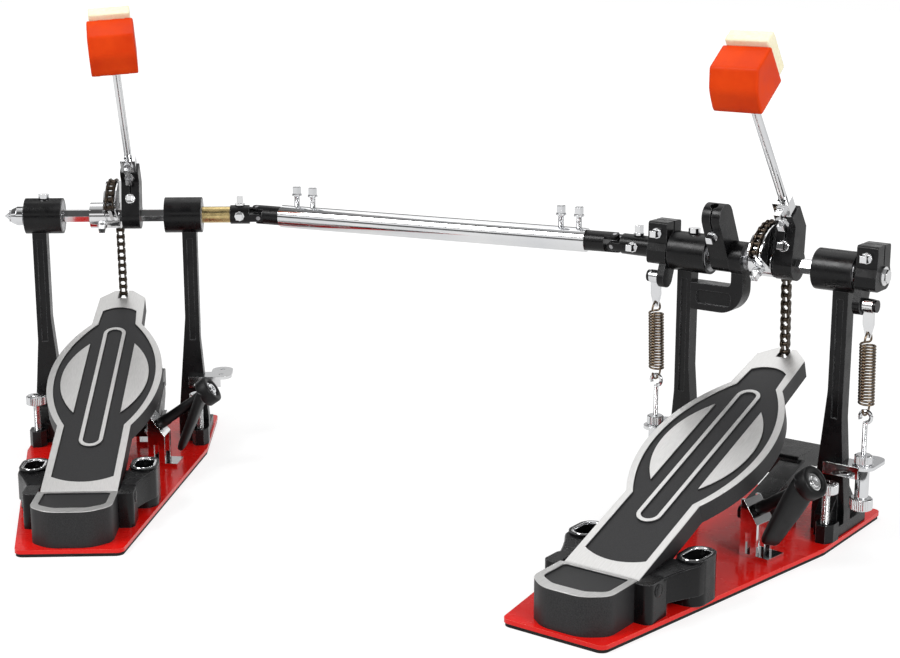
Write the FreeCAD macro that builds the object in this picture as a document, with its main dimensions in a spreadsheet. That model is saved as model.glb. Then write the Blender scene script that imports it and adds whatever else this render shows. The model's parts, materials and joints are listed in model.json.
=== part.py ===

import FreeCAD, Part

import math

import os

import re

from types import SimpleNamespace

from FreeCAD import Placement, Rotation, Vector

# Double bass drum pedal: a main pedal (right foot), a slave pedal (left foot) and the drive shaft between
# them. Millimetres, degrees. The origin is on the floor under the middle of the main axle, +X runs along
# the main axle to the drummer's right, +Y points at the drum and +Z up.

SIZES = (
    ("axle_height", 200, "floor to both axles"),
    ("slave_x", -534.1, "slave pedal's origin"),
    ("slave_y", -144.2, "slave pedal's origin"),
    ("slave_yaw", 38.8, "slave pedal turned about Z"),
    ("main_shift", 4.5, "main board, chain and beater to the right of the plate's middle"),
    ("fit_gap", 0.05, "radial gap of shafts in bores"),
    ("free_gap", 0.4, "gap between pieces that pass each other"),
    # base plates
    ("mat_thick", 2.5, "rubber mat"),
    ("mat_inset", 0.6, "mat edge inside the plate edge"),
    ("plate_thick", 3, "base plate"),
    ("plate_corner", 6, "base plate corner radius"),
    ("heel_half", 38.5, "half width at the heel end"),
    ("heel_margin", 3, "plate beyond the heel plate"),
    ("flare_reach", 40, "axle to the end of the flare"),
    ("toe_half", 76, "half width under the posts"),
    ("toe_reach", 62, "axle to the drum end"),
    # heel plate and hinge
    ("hinge_reach", 226, "axle to hinge pin, level"),
    ("hinge_height", 26.5, "floor to hinge pin"),
    ("hinge_pin", 6, "hinge pin diameter"),
    ("barrel_radius", 6, "footboard's hinge barrel"),
    ("heel_width", 29.5, "heel plate half width"),
    ("heel_length", 40, "hinge to where the heel's round end starts"),
    ("heel_bow", 12, "depth of the heel's round end"),
    ("heel_top", 33, "floor to heel plate top"),
    ("heel_rim", 5, "polished rim width"),
    ("heel_toe_rim", 9, "polished rim width at the round end"),
    ("field_depth", 1.5, "depth of the black fields"),
    ("wing_inner", 30, "axle line to wing"),
    ("wing_waist", 41, "outer face of the hinge ear"),
    ("wing_round", 5, "rounding of the hinge ear"),
    ("wing_tail", 11, "hinge to the ear's end"),
    ("wing_ahead", 64, "hinge to the front of the screw boss"),
    ("wing_top", 37, "floor to the screw boss's top"),
    ("wing_bridge", 4, "bridge between the wings"),
    ("arch_height", 11, "arch under the wing"),
    ("oval_x", 42, "axle line to screw recess"),
    ("oval_wall", 3.5, "wall round the screw recess"),
    ("oval_length", 25, "screw recess"),
    ("oval_width", 14, "screw recess"),
    ("oval_depth", 14, "screw recess"),
    # footboard, in its own slanted plane
    ("board_top", 6, "hinge plane to board top"),
    ("board_skirt", 8, "hinge plane to skirt edge"),
    ("board_skin", 4, "thickness of top and skirt"),
    ("board_half", 28.5, "half width of the lower stem"),
    ("board_belly", 45.5, "half width of the round part"),
    ("board_neck", 21, "half width under the tip"),
    ("board_tip", 19.5, "half width of the tip"),
    ("stem_end", 82, "hinge to the start of the round part"),
    ("belly_mid", 152, "hinge to the widest place"),
    ("neck_back", 47.4, "chain pin back to the end of the round part"),
    ("tip_chamfer", 12, "chamfered tip corners"),
    ("tip_margin", 6.6, "chain pin to the tip end"),
    ("board_rim", 5.2, "polished rim width"),
    ("field_start", 17, "hinge to the corners of the black field"),
    ("field_bow", 6.5, "bow of the field's heel end"),
    ("field_back", 20.4, "chain pin back to the end of the black field"),
    ("field_arch", 6, "arch of the field's tip end"),
    ("ring_start", 55, "hinge to the raised ring"),
    ("ring_back", 52.4, "chain pin back to the far end of the ring"),
    ("ring_half", 9.2, "half width of the ring"),
    ("ring_line", 3, "width of the ring's line"),
    ("island_inner", 18.5, "straight edge of the raised islands"),
    ("island_outer", 35, "round edge of the raised islands"),
    ("island_start", 99, "hinge to the islands"),
    ("island_end", 197, "hinge to the islands' far end"),
    # posts and bearing housings
    ("post_half", 63, "axle line to post middle"),
    ("post_width", 12, "post across"),
    ("post_depth", 11, "post fore and aft"),
    ("post_groove", 1.2, "depth of the groove in the post's faces"),
    ("groove_half", 2.4, "half width of the groove"),
    ("gusset_top", 112, "floor to gusset end"),
    ("gusset_foot", 49, "axle line to gusset foot"),
    ("flare_top", 92, "floor to where the post starts to widen"),
    ("foot_outer", 74.5, "axle line to foot side"),
    ("foot_back", 18, "foot towards the drummer"),
    ("foot_front", 34, "foot towards the drum"),
    ("foot_height", 17, "foot block"),
    ("foot_shoulder", 48, "floor to the end of the foot's ribs"),
    ("housing_radius", 15, "bearing housing"),
    ("housing_inner", 43, "axle line to housing"),
    ("housing_outer", 74, "axle line to housing's outer end"),
    ("bearing_outer", 26, "bearing outer diameter"),
    ("journal", 10, "axle journal diameter and across flats of the hexagon"),
    ("plug_radius", 4.5, "plug on top of a housing"),
    ("plug_height", 3.6, "plug on top of a housing"),
    # outrigger bracket on the main pedal
    ("outrigger_left", -23.5, "upright's left face"),
    ("outrigger_right", -13.5, "upright's right face"),
    ("outrigger_depth", 13, "bracket fore and aft"),
    ("outrigger_drop", 42, "axle to the bar's underside"),
    ("outrigger_bar", 20.5, "height of the bar"),
    ("outrigger_bend", 19, "outer bend radius"),
    ("outrigger_panel", 1.5, "depth of the bar's sunk sides"),
    ("bush_outer", 16, "bush outer diameter"),
    ("bush_wall", 4.5, "ring round the bushes"),
    ("bush_width", 4.6, "bush"),
    # chain and sprocket
    ("chain_pitch", 6.35, "quarter inch roller chain"),
    ("roller", 3.3, "roller diameter"),
    ("chain_inner", 3.2, "between the inner plates"),
    ("link_plate", 0.75, "plate thickness"),
    ("link_gap", 0.15, "between inner and outer plates"),
    ("link_height", 5.8, "plate height"),
    ("chain_pin", 2, "pin diameter"),
    ("pin_gap", 0.1, "pin in bush, radial"),
    ("pin_head", 0.45, "pin end outside the plate"),
    ("teeth", 28, "teeth on a full circle"),
    ("wrap_links", 9, "links that stay on the sprocket"),
    ("run_links", 13, "links of the straight run"),
    ("run_lean", 2.8, "run out of plumb at rest"),
    ("tooth_height", 2.2, "tooth above the roller seat"),
    ("sprocket_web", 2.7, "toothed web"),
    ("flange_thick", 1.2, "sprocket flange"),
    ("flange_rise", 0.9, "flange above the pitch circle"),
    ("boss_radius", 11, "sprocket boss"),
    ("boss_left", -12.4, "main sprocket boss end"),
    ("slave_boss_left", -19.5, "slave sprocket boss end"),
    ("boss_right", 5.6, "sprocket boss end"),
    ("slot_travel", 1.5, "travel of the end pin in the tip's slot"),
    # beater
    ("main_lean", 36.4, "main beater, back from plumb"),
    ("slave_lean", 31.8, "slave beater, back from plumb"),
    ("slave_twist", 8, "slave head turned about its rod"),
    ("hub_left", 7.5, "beater hub"),
    ("hub_width", 15, "beater hub"),
    ("hub_radius", 11.5, "hub round the axle"),
    ("hub_height", 37, "axle to the top of the rod's clamp"),
    ("clamp_wall", 3.6, "wall of the rod's clamp"),
    ("clamp_slit", 1.2, "slit of the rod's clamp"),
    ("rod", 6.4, "beater rod diameter"),
    ("rod_offset", 18.1, "rod on the drum side of the axle"),
    ("rod_foot", 18, "axle to the rod's lower end"),
    ("saddle_height", 12, "bright saddle on the rod"),
    ("saddle_wall", 3, "bright saddle on the rod"),
    ("head_distance", 163, "axle to the head's middle"),
    ("head_width", 36.6, "head across"),
    ("head_height", 30, "head along the rod"),
    ("head_front", 21.2, "rod to the drummer's face"),
    ("head_crown", 9.4, "rod to the front of the head's top"),
    ("head_back", 13.9, "rod to the felt"),
    ("head_round", 1.5, "rounding of the drummer's face"),
    ("felt_thick", 12, "felt pad"),
    ("felt_inset", 2, "felt inside the head's sides"),
    ("felt_rise", 4.5, "felt above the head's top"),
    ("felt_round", 3, "rounding of the felt's face"),
    ("second_lean", 27, "second hub, back from plumb"),
    ("second_left", -39, "second hub"),
    ("second_width", 15, "second hub"),
    ("second_height", 46, "axle to second hub top"),
    ("socket_depth", 28, "beater socket in the second hub"),
    # spring levers, hangers, springs and tensioners
    ("lever_gap", 2, "housing's outer end to lever"),
    ("lever_width", 16, "lever along the axle"),
    ("lever_radius", 13, "lever round the axle"),
    ("lever_cheek", 11, "half depth of the lever's clamp"),
    ("lever_top", 22, "axle to lever top"),
    ("lever_slit", 1.8, "slit of the lever's clamp"),
    ("lever_reach", 22, "axle to hanger pivot"),
    ("lever_angle", 21, "pivot towards the drummer from straight down"),
    ("arm_thick", 5.6, "lever's arm"),
    ("arm_end", 7.5, "radius of the arm's end"),
    ("pivot_bolt", 5, "hanger pivot"),
    ("pivot_cap", 2, "cap on the hanger pivot"),
    ("hanger_width", 8, "hanger"),
    ("hanger_radius", 5, "hanger eye"),
    ("hanger_length", 20, "pivot to spring loop"),
    ("hanger_thick", 2.4, "hanger tongue"),
    ("hook_y", -3, "tension rod"),
    ("hook_z", 98, "floor to the spring's lower loop"),
    ("spring_radius", 5.3, "middle of the wire"),
    ("wire", 1.6, "spring wire diameter"),
    ("coil_gap", 0.6, "between the spring's turns"),
    ("loop_bend", 2.5, "bend from the coil into an end loop"),
    ("hook_radius", 4.2, "tension rod's hook, middle of the rod"),
    ("rod_wire", 4, "tension rod diameter"),
    ("bracket_height", 58, "floor to spring bracket"),
    ("bracket_thick", 2.5, "spring bracket"),
    ("bracket_half", 9, "spring bracket half width"),
    ("bracket_tail", 17, "tension rod to the spring bracket's far hole"),
    ("bracket_lip", 9, "spring bracket's folded edge"),
    ("bracket_lap", 4, "spring bracket over the post's face"),
    ("lock_radius", 6.5, "lock nut on the bracket"),
    ("lock_height", 8, "lock nut on the bracket"),
    ("knurl_radius", 8.5, "adjusting nut"),
    ("knurl_low", 27, "floor to adjusting nut"),
    ("knurl_height", 9, "adjusting nut"),
    ("sleeve_radius", 5, "tension sleeve"),
    # spurs
    ("spur_x", 69, "axle line to spur"),
    ("spur_y", -26, "spur towards the drummer"),
    ("spur_thread", 6, "spur thread diameter"),
    ("spur_head", 8.5, "spur head radius"),
    ("spur_top", 50, "floor to spur head"),
    ("spur_head_height", 8, "spur head"),
    ("spur_lug", 7, "lug round the spur"),
    # hoop clamp
    ("jaw_half", 32, "half width of the jaw"),
    ("jaw_back", 4, "jaw's bar, axle to its near edge"),
    ("jaw_front", 47, "axle to the jaw's teeth"),
    ("jaw_low", 38, "floor to the jaw's teeth"),
    ("jaw_top", 54, "floor to the jaw's top"),
    ("jaw_pitch", 2.2, "pitch of the jaw's teeth"),
    ("jaw_tooth", 1.6, "depth of the jaw's teeth"),
    ("rocker_left", 18, "rocker arm"),
    ("rocker_right", 36, "rocker arm"),
    ("rocker_reach", 64, "axle to the rocker's end"),
    ("rocker_pin_y", -20, "rocker pivot"),
    ("rocker_pin_z", 25, "rocker pivot"),
    ("rocker_pin", 6, "rocker pivot diameter"),
    ("cheek_thick", 3, "rocker's pedestal"),
    ("cheek_half", 10, "rocker's pedestal fore and aft"),
    ("grip_x", 42, "clamp bolt where it leaves its bracket"),
    ("grip_y", -79, "clamp bolt where it leaves its bracket"),
    ("grip_z", 39, "clamp bolt where it leaves its bracket"),
    ("grip_rise", 35, "clamp bolt above level"),
    ("grip_yaw", -8, "clamp bolt about Z"),
    ("grip_length", 50, "bracket to the handle's eye"),
    ("grip_bolt", 7, "clamp bolt diameter"),
    ("grip_stem", 12, "clamp bolt's sleeve diameter"),
    ("grip_tail", 14, "clamp bolt behind its bracket"),
    ("grip_half", 10, "half width of the bolt's bracket"),
    ("grip_wall", 2.5, "wall of the bolt's bracket"),
    ("grip_arch", 18, "height of the opening in the bolt's bracket"),
    ("paddle_length", 55, "eye to the paddle's end"),
    ("paddle_width", 15, "handle's paddle"),
    ("paddle_waist", 11, "handle's paddle where it leaves the eye"),
    ("paddle_thick", 7, "handle's paddle"),
    ("paddle_fold", 32.5, "paddle from the bolt's line"),
    ("eye_radius", 11.5, "handle's eye"),
    ("eye_sink", 2.5, "recess in the eye"),
    ("main_handle", -22, "main handle turned about its bolt"),
    ("slave_handle", 0, "slave handle turned about its bolt"),
    # universal joints and drive shaft
    ("slave_reach", 47.7, "slave housing's outer end to cross"),
    ("output_reach", 35, "spring lever's outer face to cross"),
    ("yoke_radius", 8, "yoke outside"),
    ("yoke_bore", 4.2, "fork inside, from the shaft's line"),
    ("arm_half", 3.6, "fork arm half width"),
    ("yoke_throat", 7.6, "cross to fork bottom"),
    ("cross_pin", 3.6, "cross pin diameter"),
    ("slave_yoke_base", 16, "yoke behind its fork"),
    ("output_yoke_base", 26, "yoke behind its fork"),
    ("shaft_yoke_base", 16, "yoke behind its fork, outside the tube"),
    ("shaft_stub", 40, "yoke stub inside the tube"),
    ("tube_radius", 9.5, "drive tube"),
    ("tube_wall", 1.5, "drive tube"),
    ("screw_first", 7, "tube end to its first screw"),
    ("screw_second", 22, "tube end to its second screw"),
    ("screw_shift", 7, "left pair further from its tube end"),
    ("screw_stand", 9, "screw shank outside the tube"),
    ("half_swing", 17.947, "half of the axle's stroke"),
    ("spacer_radius", 6.9, "sleeve on the slave axle"),
    ("acorn_length", 16, "nut on the slave axle's end"),
    ("acorn_radius", 8, "domed nut"),
    # key screws
    ("key_square", 5, "square head"),
    ("key_head", 6, "square head height"),
    ("key_flange", 4.2, "flange radius"),
    ("key_flange_height", 1.6, "flange"),
    ("key_shank", 2.5, "shank radius"),
    ("seat_gap", 0.05, "under the head of a screw that only sits on its face"),
)

doc = FreeCAD.newDocument("DoublePedal")

sheet = doc.addObject("Spreadsheet::Sheet", "Sizes")

for row, (alias, number, note) in enumerate(SIZES, 1):
    sheet.set(f"A{row}", note)
    sheet.set(f"B{row}", str(number))
    sheet.setAlias(f"B{row}", alias)

doc.recompute()

dim = SimpleNamespace(**{alias: float(sheet.get(alias)) for alias, number, note in SIZES})

ALIAS = re.compile(r"\b(" + "|".join(alias for alias, number, note in SIZES) + r")\b")

trial = doc.addObject("Spreadsheet::Sheet", "Trial")

X_AXIS = Vector(1, 0, 0)

Y_AXIS = Vector(0, 1, 0)

Z_AXIS = Vector(0, 0, 1)

FLOOR = "mat_thick + plate_thick"
LEVER_INNER = "(housing_outer + lever_gap)"
LEVER_OUTER = "(housing_outer + lever_gap + lever_width)"
SLAVE_CROSS = "(housing_outer + slave_reach)"
OUTPUT_CROSS = "-(housing_outer + lever_gap + lever_width + output_reach)"
PLATE_END = "hinge_reach + heel_length + heel_bow + heel_margin"
OVAL_REACH = "hinge_reach - wing_ahead + oval_wall + oval_length / 2"
HUB_KEY = "hub_height - 1.1 * key_flange"
SECOND_KEY = "second_height - socket_depth + 2 * key_flange"
WIRE_SIDES = 4
KNURL_SIDES = 12

NODES = []


def qualified(text):
    """An expression on the size sheet, with each alias named in full."""
    return ALIAS.sub(r"Sizes.\g<0>", str(text))


def bind(feature, prop, text):
    feature.setExpression(prop, qualified(text))


def value(text):
    """What an expression gives now."""
    trial.set("A1", "=" + qualified(text))
    trial.recompute()
    return float(trial.get("A1"))


def node(feature, label):
    """Marks a document object as a sub-part that is written out."""
    feature.Label = label
    NODES.append(feature)
    return feature


def turned(axis, degrees, base=Vector()):
    return Placement(base, Rotation(axis, degrees))


def moved(x=0, y=0, z=0):
    return Placement(Vector(x, y, z), Rotation())


MAIN = Placement()

SLAVE = turned(Z_AXIS, dim.slave_yaw, Vector(dim.slave_x, dim.slave_y, 0))

TRAIN = moved(dim.main_shift)
AXLE = moved(z=dim.axle_height)


# Sketches and features

def new_body(name, place=Placement()):
    body = doc.addObject("PartDesign::Body", name)
    body.Placement = place
    return body


def plane_of(body, role):
    return next(item for item in body.Origin.OriginFeatures if item.Role == role)


def new_sketch(body, role, offset="0"):
    sketch = body.newObject("Sketcher::SketchObject", body.Name + "_sketch")
    sketch.AttachmentSupport = [(plane_of(body, role), "")]
    sketch.MapMode = "FlatFace"
    bind(sketch, "AttachmentOffset.Base.z", offset)
    return sketch


def draw_polygon(sketch, corners):
    """A closed outline of straight lines whose corners are bound to the sheet."""
    points = [Vector(value(x), value(y), 0) for x, y in corners]
    count = len(points)
    first = len(sketch.Geometry)
    for index in range(count):
        sketch.addGeometry(Part.LineSegment(points[index], points[(index + 1) % count]), False)
    for index, (x, y) in enumerate(corners):
        line = first + index
        sketch.addConstraint(Sketcher.Constraint("Coincident", line, 2, first + (index + 1) % count, 1))
        for kind, text, place in (("DistanceX", x, points[index].x), ("DistanceY", y, points[index].y)):
            rule = sketch.addConstraint(Sketcher.Constraint(kind, -1, 1, line, 1, place))
            bind(sketch, f"Constraints[{rule}]", text)


def draw_circle(sketch, x, y, radius):
    centre = Vector(value(x), value(y), 0)
    ring = sketch.addGeometry(Part.Circle(centre, Z_AXIS, value(radius)), False)
    for kind, text, place in (("DistanceX", x, centre.x), ("DistanceY", y, centre.y)):
        rule = sketch.addConstraint(Sketcher.Constraint(kind, -1, 1, ring, 3, place))
        bind(sketch, f"Constraints[{rule}]", text)
    rule = sketch.addConstraint(Sketcher.Constraint("Radius", ring, value(radius)))
    bind(sketch, f"Constraints[{rule}]", radius)


def outline(corners):
    """Lines with rounded corners: each corner is (x, y) or (x, y, radius)."""
    count = len(corners)
    spots = [Vector(corner[0], corner[1], 0) for corner in corners]
    starts, ends, middles = [], [], []
    for index, corner in enumerate(corners):
        radius = corner[2] if len(corner) > 2 else 0
        here = spots[index]
        back = (spots[index - 1] - here).normalize()
        ahead = (spots[(index + 1) % count] - here).normalize()
        if radius:
            half = back.getAngle(ahead) / 2
            bisector = (back + ahead).normalize()
            starts.append(here + back * (radius / math.tan(half)))
            ends.append(here + ahead * (radius / math.tan(half)))
            middles.append(here + bisector * (radius / math.sin(half) - radius))
        else:
            starts.append(here)
            ends.append(here)
            middles.append(None)
    edges = []
    for index in range(count):
        if middles[index] is not None:
            edges.append(Part.Arc(starts[index], middles[index], ends[index]))
        following = (index + 1) % count
        if (starts[following] - ends[index]).Length > 1e-6:
            edges.append(Part.LineSegment(ends[index], starts[following]))
    return edges


def slot_outline(x, y, length, width):
    """A round-ended slot along the second axis."""
    reach = (length - width) / 2
    half = width / 2
    return [
        Part.LineSegment(Vector(x + half, y - reach, 0), Vector(x + half, y + reach, 0)),
        Part.Arc(Vector(x + half, y + reach, 0), Vector(x, y + reach + half, 0),
                 Vector(x - half, y + reach, 0)),
        Part.LineSegment(Vector(x - half, y + reach, 0), Vector(x - half, y - reach, 0)),
        Part.Arc(Vector(x - half, y - reach, 0), Vector(x, y - reach - half, 0),
                 Vector(x + half, y - reach, 0)),
    ]


def draw(sketch, edges):
    for edge in edges:
        sketch.addGeometry(edge, False)


def pad(body, sketch, length):
    feature = body.newObject("PartDesign::Pad", body.Name + "_pad")
    feature.Profile = sketch
    bind(feature, "Length", length)
    return feature


def pocket(body, sketch, depth):
    """Cuts from the sketch's plane against its normal."""
    feature = body.newObject("PartDesign::Pocket", body.Name + "_pocket")
    feature.Profile = sketch
    bind(feature, "Length", depth)
    return feature


def edges_where(shape, test):
    return [f"Edge{index}" for index, edge in enumerate(shape.Edges, 1) if test(edge)]


def is_along(edge, direction):
    straight = isinstance(edge.Curve, Part.Line)
    return straight and abs(abs(edge.tangentAt(edge.FirstParameter).dot(direction)) - 1) < 1e-6


def fillet(body, radius, test):
    doc.recompute()
    base = body.Tip
    feature = body.newObject("PartDesign::Fillet", body.Name + "_fillet")
    feature.Base = (base, edges_where(base.Shape, test))
    bind(feature, "Radius", radius)


def hexagon(flats, turn="0"):
    """Corners of a hexagon with a flat on top, as expressions, turned back by an angle."""
    corner = f"({flats}) / cos(30) / 2"
    angles = [f"{60 * step} - {turn}" for step in range(6)]
    return [(f"{corner} * cos({angle})", f"{corner} * sin({angle})") for angle in angles]


def group(name, members, place=Placement()):
    bundle = doc.addObject("Part::Compound", name)
    bundle.Links = members
    bundle.Placement = place
    return bundle


def mirrored(member):
    twin = doc.addObject("Part::Mirroring", member.Name + "_twin")
    twin.Source = member
    twin.Normal = X_AXIS
    return twin


def copies(name, shapes):
    """One object of several equal or related solids that share a node."""
    return feature_of(name, Part.makeCompound(shapes))


def feature_of(name, shape, place=Placement()):
    """A solid made from curves that no sketch feature gives."""
    feature = doc.addObject("Part::Feature", name)
    feature.Shape = placed(shape, place)
    return feature


def placed(shape, place):
    twin = shape.copy()
    twin.Placement = place.multiply(twin.Placement)
    return twin


def rod_shape(start, direction, radius, length):
    return Part.makeCylinder(radius, length, start, direction)


def turned_shape(profile):
    """A solid turned about Z from (radius, height) corners."""
    corners = [Vector(radius, 0, height) for radius, height in profile]
    face = Part.Face(Part.makePolygon(corners + corners[:1]))
    return face.revolve(Vector(), Z_AXIS, 360)


def prism(sides, radius, low, high):
    """A regular prism about Z, measured to its corners."""
    turns = [2 * math.pi * step / sides for step in range(sides)]
    corners = [Vector(radius * math.cos(turn), radius * math.sin(turn), low) for turn in turns]
    return Part.Face(Part.makePolygon(corners + corners[:1])).extrude(Z_AXIS * (high - low))


# Base plates and rubber mats

def plate_corners(inset):
    near, flare, far = f"-({PLATE_END}) + {inset}", "-flare_reach", f"toe_reach - {inset}"
    heel, toe = f"heel_half - {inset}", f"toe_half - {inset}"
    return [(f"-({heel})", near), (heel, near), (toe, flare), (toe, far), (f"-({toe})", far),
            (f"-({toe})", flare)]


def plate_body(name, pedal, inset, low, thick):
    body = new_body(name, pedal)
    sketch = new_sketch(body, "XY_Plane", low)
    draw_polygon(sketch, plate_corners(inset))
    pad(body, sketch, thick)
    fillet(body, "plate_corner", lambda edge: is_along(edge, Z_AXIS))
    return body


def make_plates():
    node(plate_body("main_plate", MAIN, "0", "mat_thick", "plate_thick"), "main_base_plate")
    node(plate_body("slave_plate", SLAVE, "0", "mat_thick", "plate_thick"), "slave_base_plate")
    mats = [plate_body(name, pedal, "mat_inset", "0", "mat_thick")
            for name, pedal in (("main_mat", MAIN), ("slave_mat", SLAVE))]
    node(group("mats", mats), "rubber_mats")


# Heel plates

def heel_outline(rim, toe_rim, ease):
    """The heel plate's plan, or its field's: ease shares out the rounding of the corners."""
    half = dim.heel_width - rim
    front = -(dim.hinge_reach + dim.barrel_radius + dim.free_gap) - rim / 2
    shoulder = -(dim.hinge_reach + dim.heel_length) + toe_rim / 2
    end = shoulder - dim.heel_bow + toe_rim / 2
    side, toe = 1.1 * ease * dim.heel_bow, 1.7 * ease * dim.heel_bow
    return outline([(half, front, rim / 2), (-half, front, rim / 2), (-half, shoulder, side),
                    (-half / 2, end, toe),
                    (half / 2, end, toe), (half, shoulder, side)])


def heel_body(name, pedal):
    body = new_body(name, pedal)
    block = new_sketch(body, "XY_Plane", FLOOR)
    draw(block, heel_outline(0, 0, 1))
    pad(body, block, f"heel_top - ({FLOOR})")
    field = new_sketch(body, "XY_Plane", "heel_top")
    draw(field, heel_outline(dim.heel_rim, dim.heel_toe_rim, 0.6))
    pocket(body, field, "field_depth")
    return body


# Hinge blocks: two wings on a bridge, bored for the hinge pin


def web_profile():
    """The web from the hinge ear to the screw boss, arched below."""
    floor = value(FLOOR)
    start, finish = -dim.hinge_reach, -value(OVAL_REACH)
    arch = floor + dim.arch_height
    arch_start = start + dim.wing_tail
    arch_end = finish - dim.oval_length / 2 - dim.oval_wall
    return outline([(start, floor), (arch_start, floor), (arch_start, arch, dim.arch_height / 3),
                    (arch_end, arch, dim.arch_height / 3), (arch_end, floor), (finish, floor),
                    (finish, dim.wing_top - dim.oval_wall),
                    (start, dim.hinge_height + dim.hinge_pin / 2)])


def wing_body(name):
    body = new_body(name)
    web = new_sketch(body, "YZ_Plane", "wing_inner")
    draw(web, web_profile())
    pad(body, web, "wing_waist - wing_inner")
    ear = new_sketch(body, "XY_Plane", FLOOR)
    back, front = -dim.hinge_reach - dim.wing_tail, -dim.hinge_reach + dim.wing_tail
    draw(ear, outline([(dim.wing_inner, back), (dim.wing_waist, back, dim.wing_round),
                       (dim.wing_waist, front, dim.wing_round), (dim.wing_inner, front)]))
    pad(body, ear, f"hinge_height + hinge_pin - ({FLOOR})")
    boss = new_sketch(body, "XY_Plane", FLOOR)
    wall, reach = 2 * dim.oval_wall, value(OVAL_REACH)
    draw(boss, slot_outline(dim.oval_x, -reach, dim.oval_length + wall, dim.oval_width + wall))
    pad(body, boss, f"wing_top - ({FLOOR})")
    oval = new_sketch(body, "XY_Plane", "wing_top")
    draw(oval, slot_outline(dim.oval_x, -reach, dim.oval_length, dim.oval_width))
    pocket(body, oval, "oval_depth")
    hole = new_sketch(body, "YZ_Plane", "wing_waist + 1")
    draw_circle(hole, "-hinge_reach", "hinge_height", "hinge_pin / 2 + fit_gap")
    pocket(body, hole, "wing_waist - wing_inner + 2")
    return body


def hinge_block(name, pedal):
    wing = wing_body(name)
    bridge = new_body(name + "_bridge")
    sketch = new_sketch(bridge, "XY_Plane", FLOOR)
    half, back, front = "(wing_inner + oval_wall)", f"-({OVAL_REACH}) - wing_tail", f"-({OVAL_REACH})"
    draw_polygon(sketch, [(f"-{half}", back), (half, back), (half, front), (f"-{half}", front)])
    pad(bridge, sketch, "wing_bridge")
    whole = doc.addObject("Part::MultiFuse", name + "_casting")
    whole.Shapes = [wing, mirrored(wing), bridge]
    whole.Placement = pedal
    return whole


# Footboards: built flat with Y along the board from the hinge pin and Z square to it

def chain_geometry():
    """Where the chain leaves the sprocket and where its end pin lies, at rest."""
    step = 360 / dim.teeth
    radius = dim.chain_pitch / 2 / math.sin(math.radians(step / 2))
    lean = math.radians(dim.run_lean)
    leave = Vector(0, radius * math.cos(lean), dim.axle_height + radius * math.sin(lean))
    end = leave + Vector(0, math.sin(lean), -math.cos(lean)) * (dim.chain_pitch * dim.run_links)
    return SimpleNamespace(step=step, radius=radius, leave=leave, end=end)


CHAIN = chain_geometry()

HINGE = Vector(0, -dim.hinge_reach, dim.hinge_height)

BOARD_LENGTH = (CHAIN.end - HINGE).Length

BOARD_ANGLE = math.degrees(math.atan2(CHAIN.end.z - HINGE.z, CHAIN.end.y - HINGE.y))

BOARD = turned(X_AXIS, BOARD_ANGLE, HINGE)

CHAIN_HALF = dim.chain_inner / 2 + 2 * dim.link_plate + dim.link_gap + dim.pin_head


def board_side(inset, start, finish):
    """The right edge of the board from the hinge end to the tip, moved inwards."""
    stem = Vector(dim.board_half - inset, dim.stem_end, 0)
    belly = Vector(dim.board_belly - inset, dim.belly_mid, 0)
    neck = Vector(dim.board_neck - inset, BOARD_LENGTH - dim.neck_back, 0)
    return [Vector(stem.x, start, 0), stem, belly, neck, Vector(dim.board_tip - inset, finish, 0)]


def flip(point):
    return Vector(-point.x, point.y, 0)


def board_outline(inset, start, finish, tip_points):
    """A closed outline of both edges; tip_points go from the right edge to the left one."""
    corner, stem, belly, neck, tip = board_side(inset, start, finish)
    right = [Part.LineSegment(corner, stem), Part.Arc(stem, belly, neck), Part.LineSegment(neck, tip)]
    left = [Part.LineSegment(flip(tip), flip(neck)), Part.Arc(flip(neck), flip(belly), flip(stem)),
            Part.LineSegment(flip(stem), flip(corner))]
    path = [tip] + tip_points + [flip(tip)]
    over = [Part.LineSegment(path[index], path[index + 1]) for index in range(len(path) - 1)]
    return right + over + left + [Part.LineSegment(flip(corner), corner)]


def field_outline():
    """The recessed field inside the rim, bowed at the heel end and arched at the tip."""
    far = BOARD_LENGTH - dim.field_back
    edges = board_outline(dim.board_rim, dim.field_start, far - dim.field_arch, [])
    corner, tip = edges[0].StartPoint, edges[2].EndPoint
    arch = Part.Arc(tip, Vector(0, far, 0), flip(tip))
    bow = Part.Arc(flip(corner), Vector(0, dim.field_start - dim.field_bow, 0), corner)
    return edges[:3] + [arch] + edges[4:-1] + [bow]


def island_outline(side):
    inner = side * dim.island_inner
    low = Vector(inner, dim.island_start, 0)
    high = Vector(inner, dim.island_end, 0)
    crown = Vector(side * dim.island_outer, (dim.island_start + dim.island_end) / 2, 0)
    return [Part.LineSegment(low, high), Part.Arc(high, crown, low)]


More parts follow.
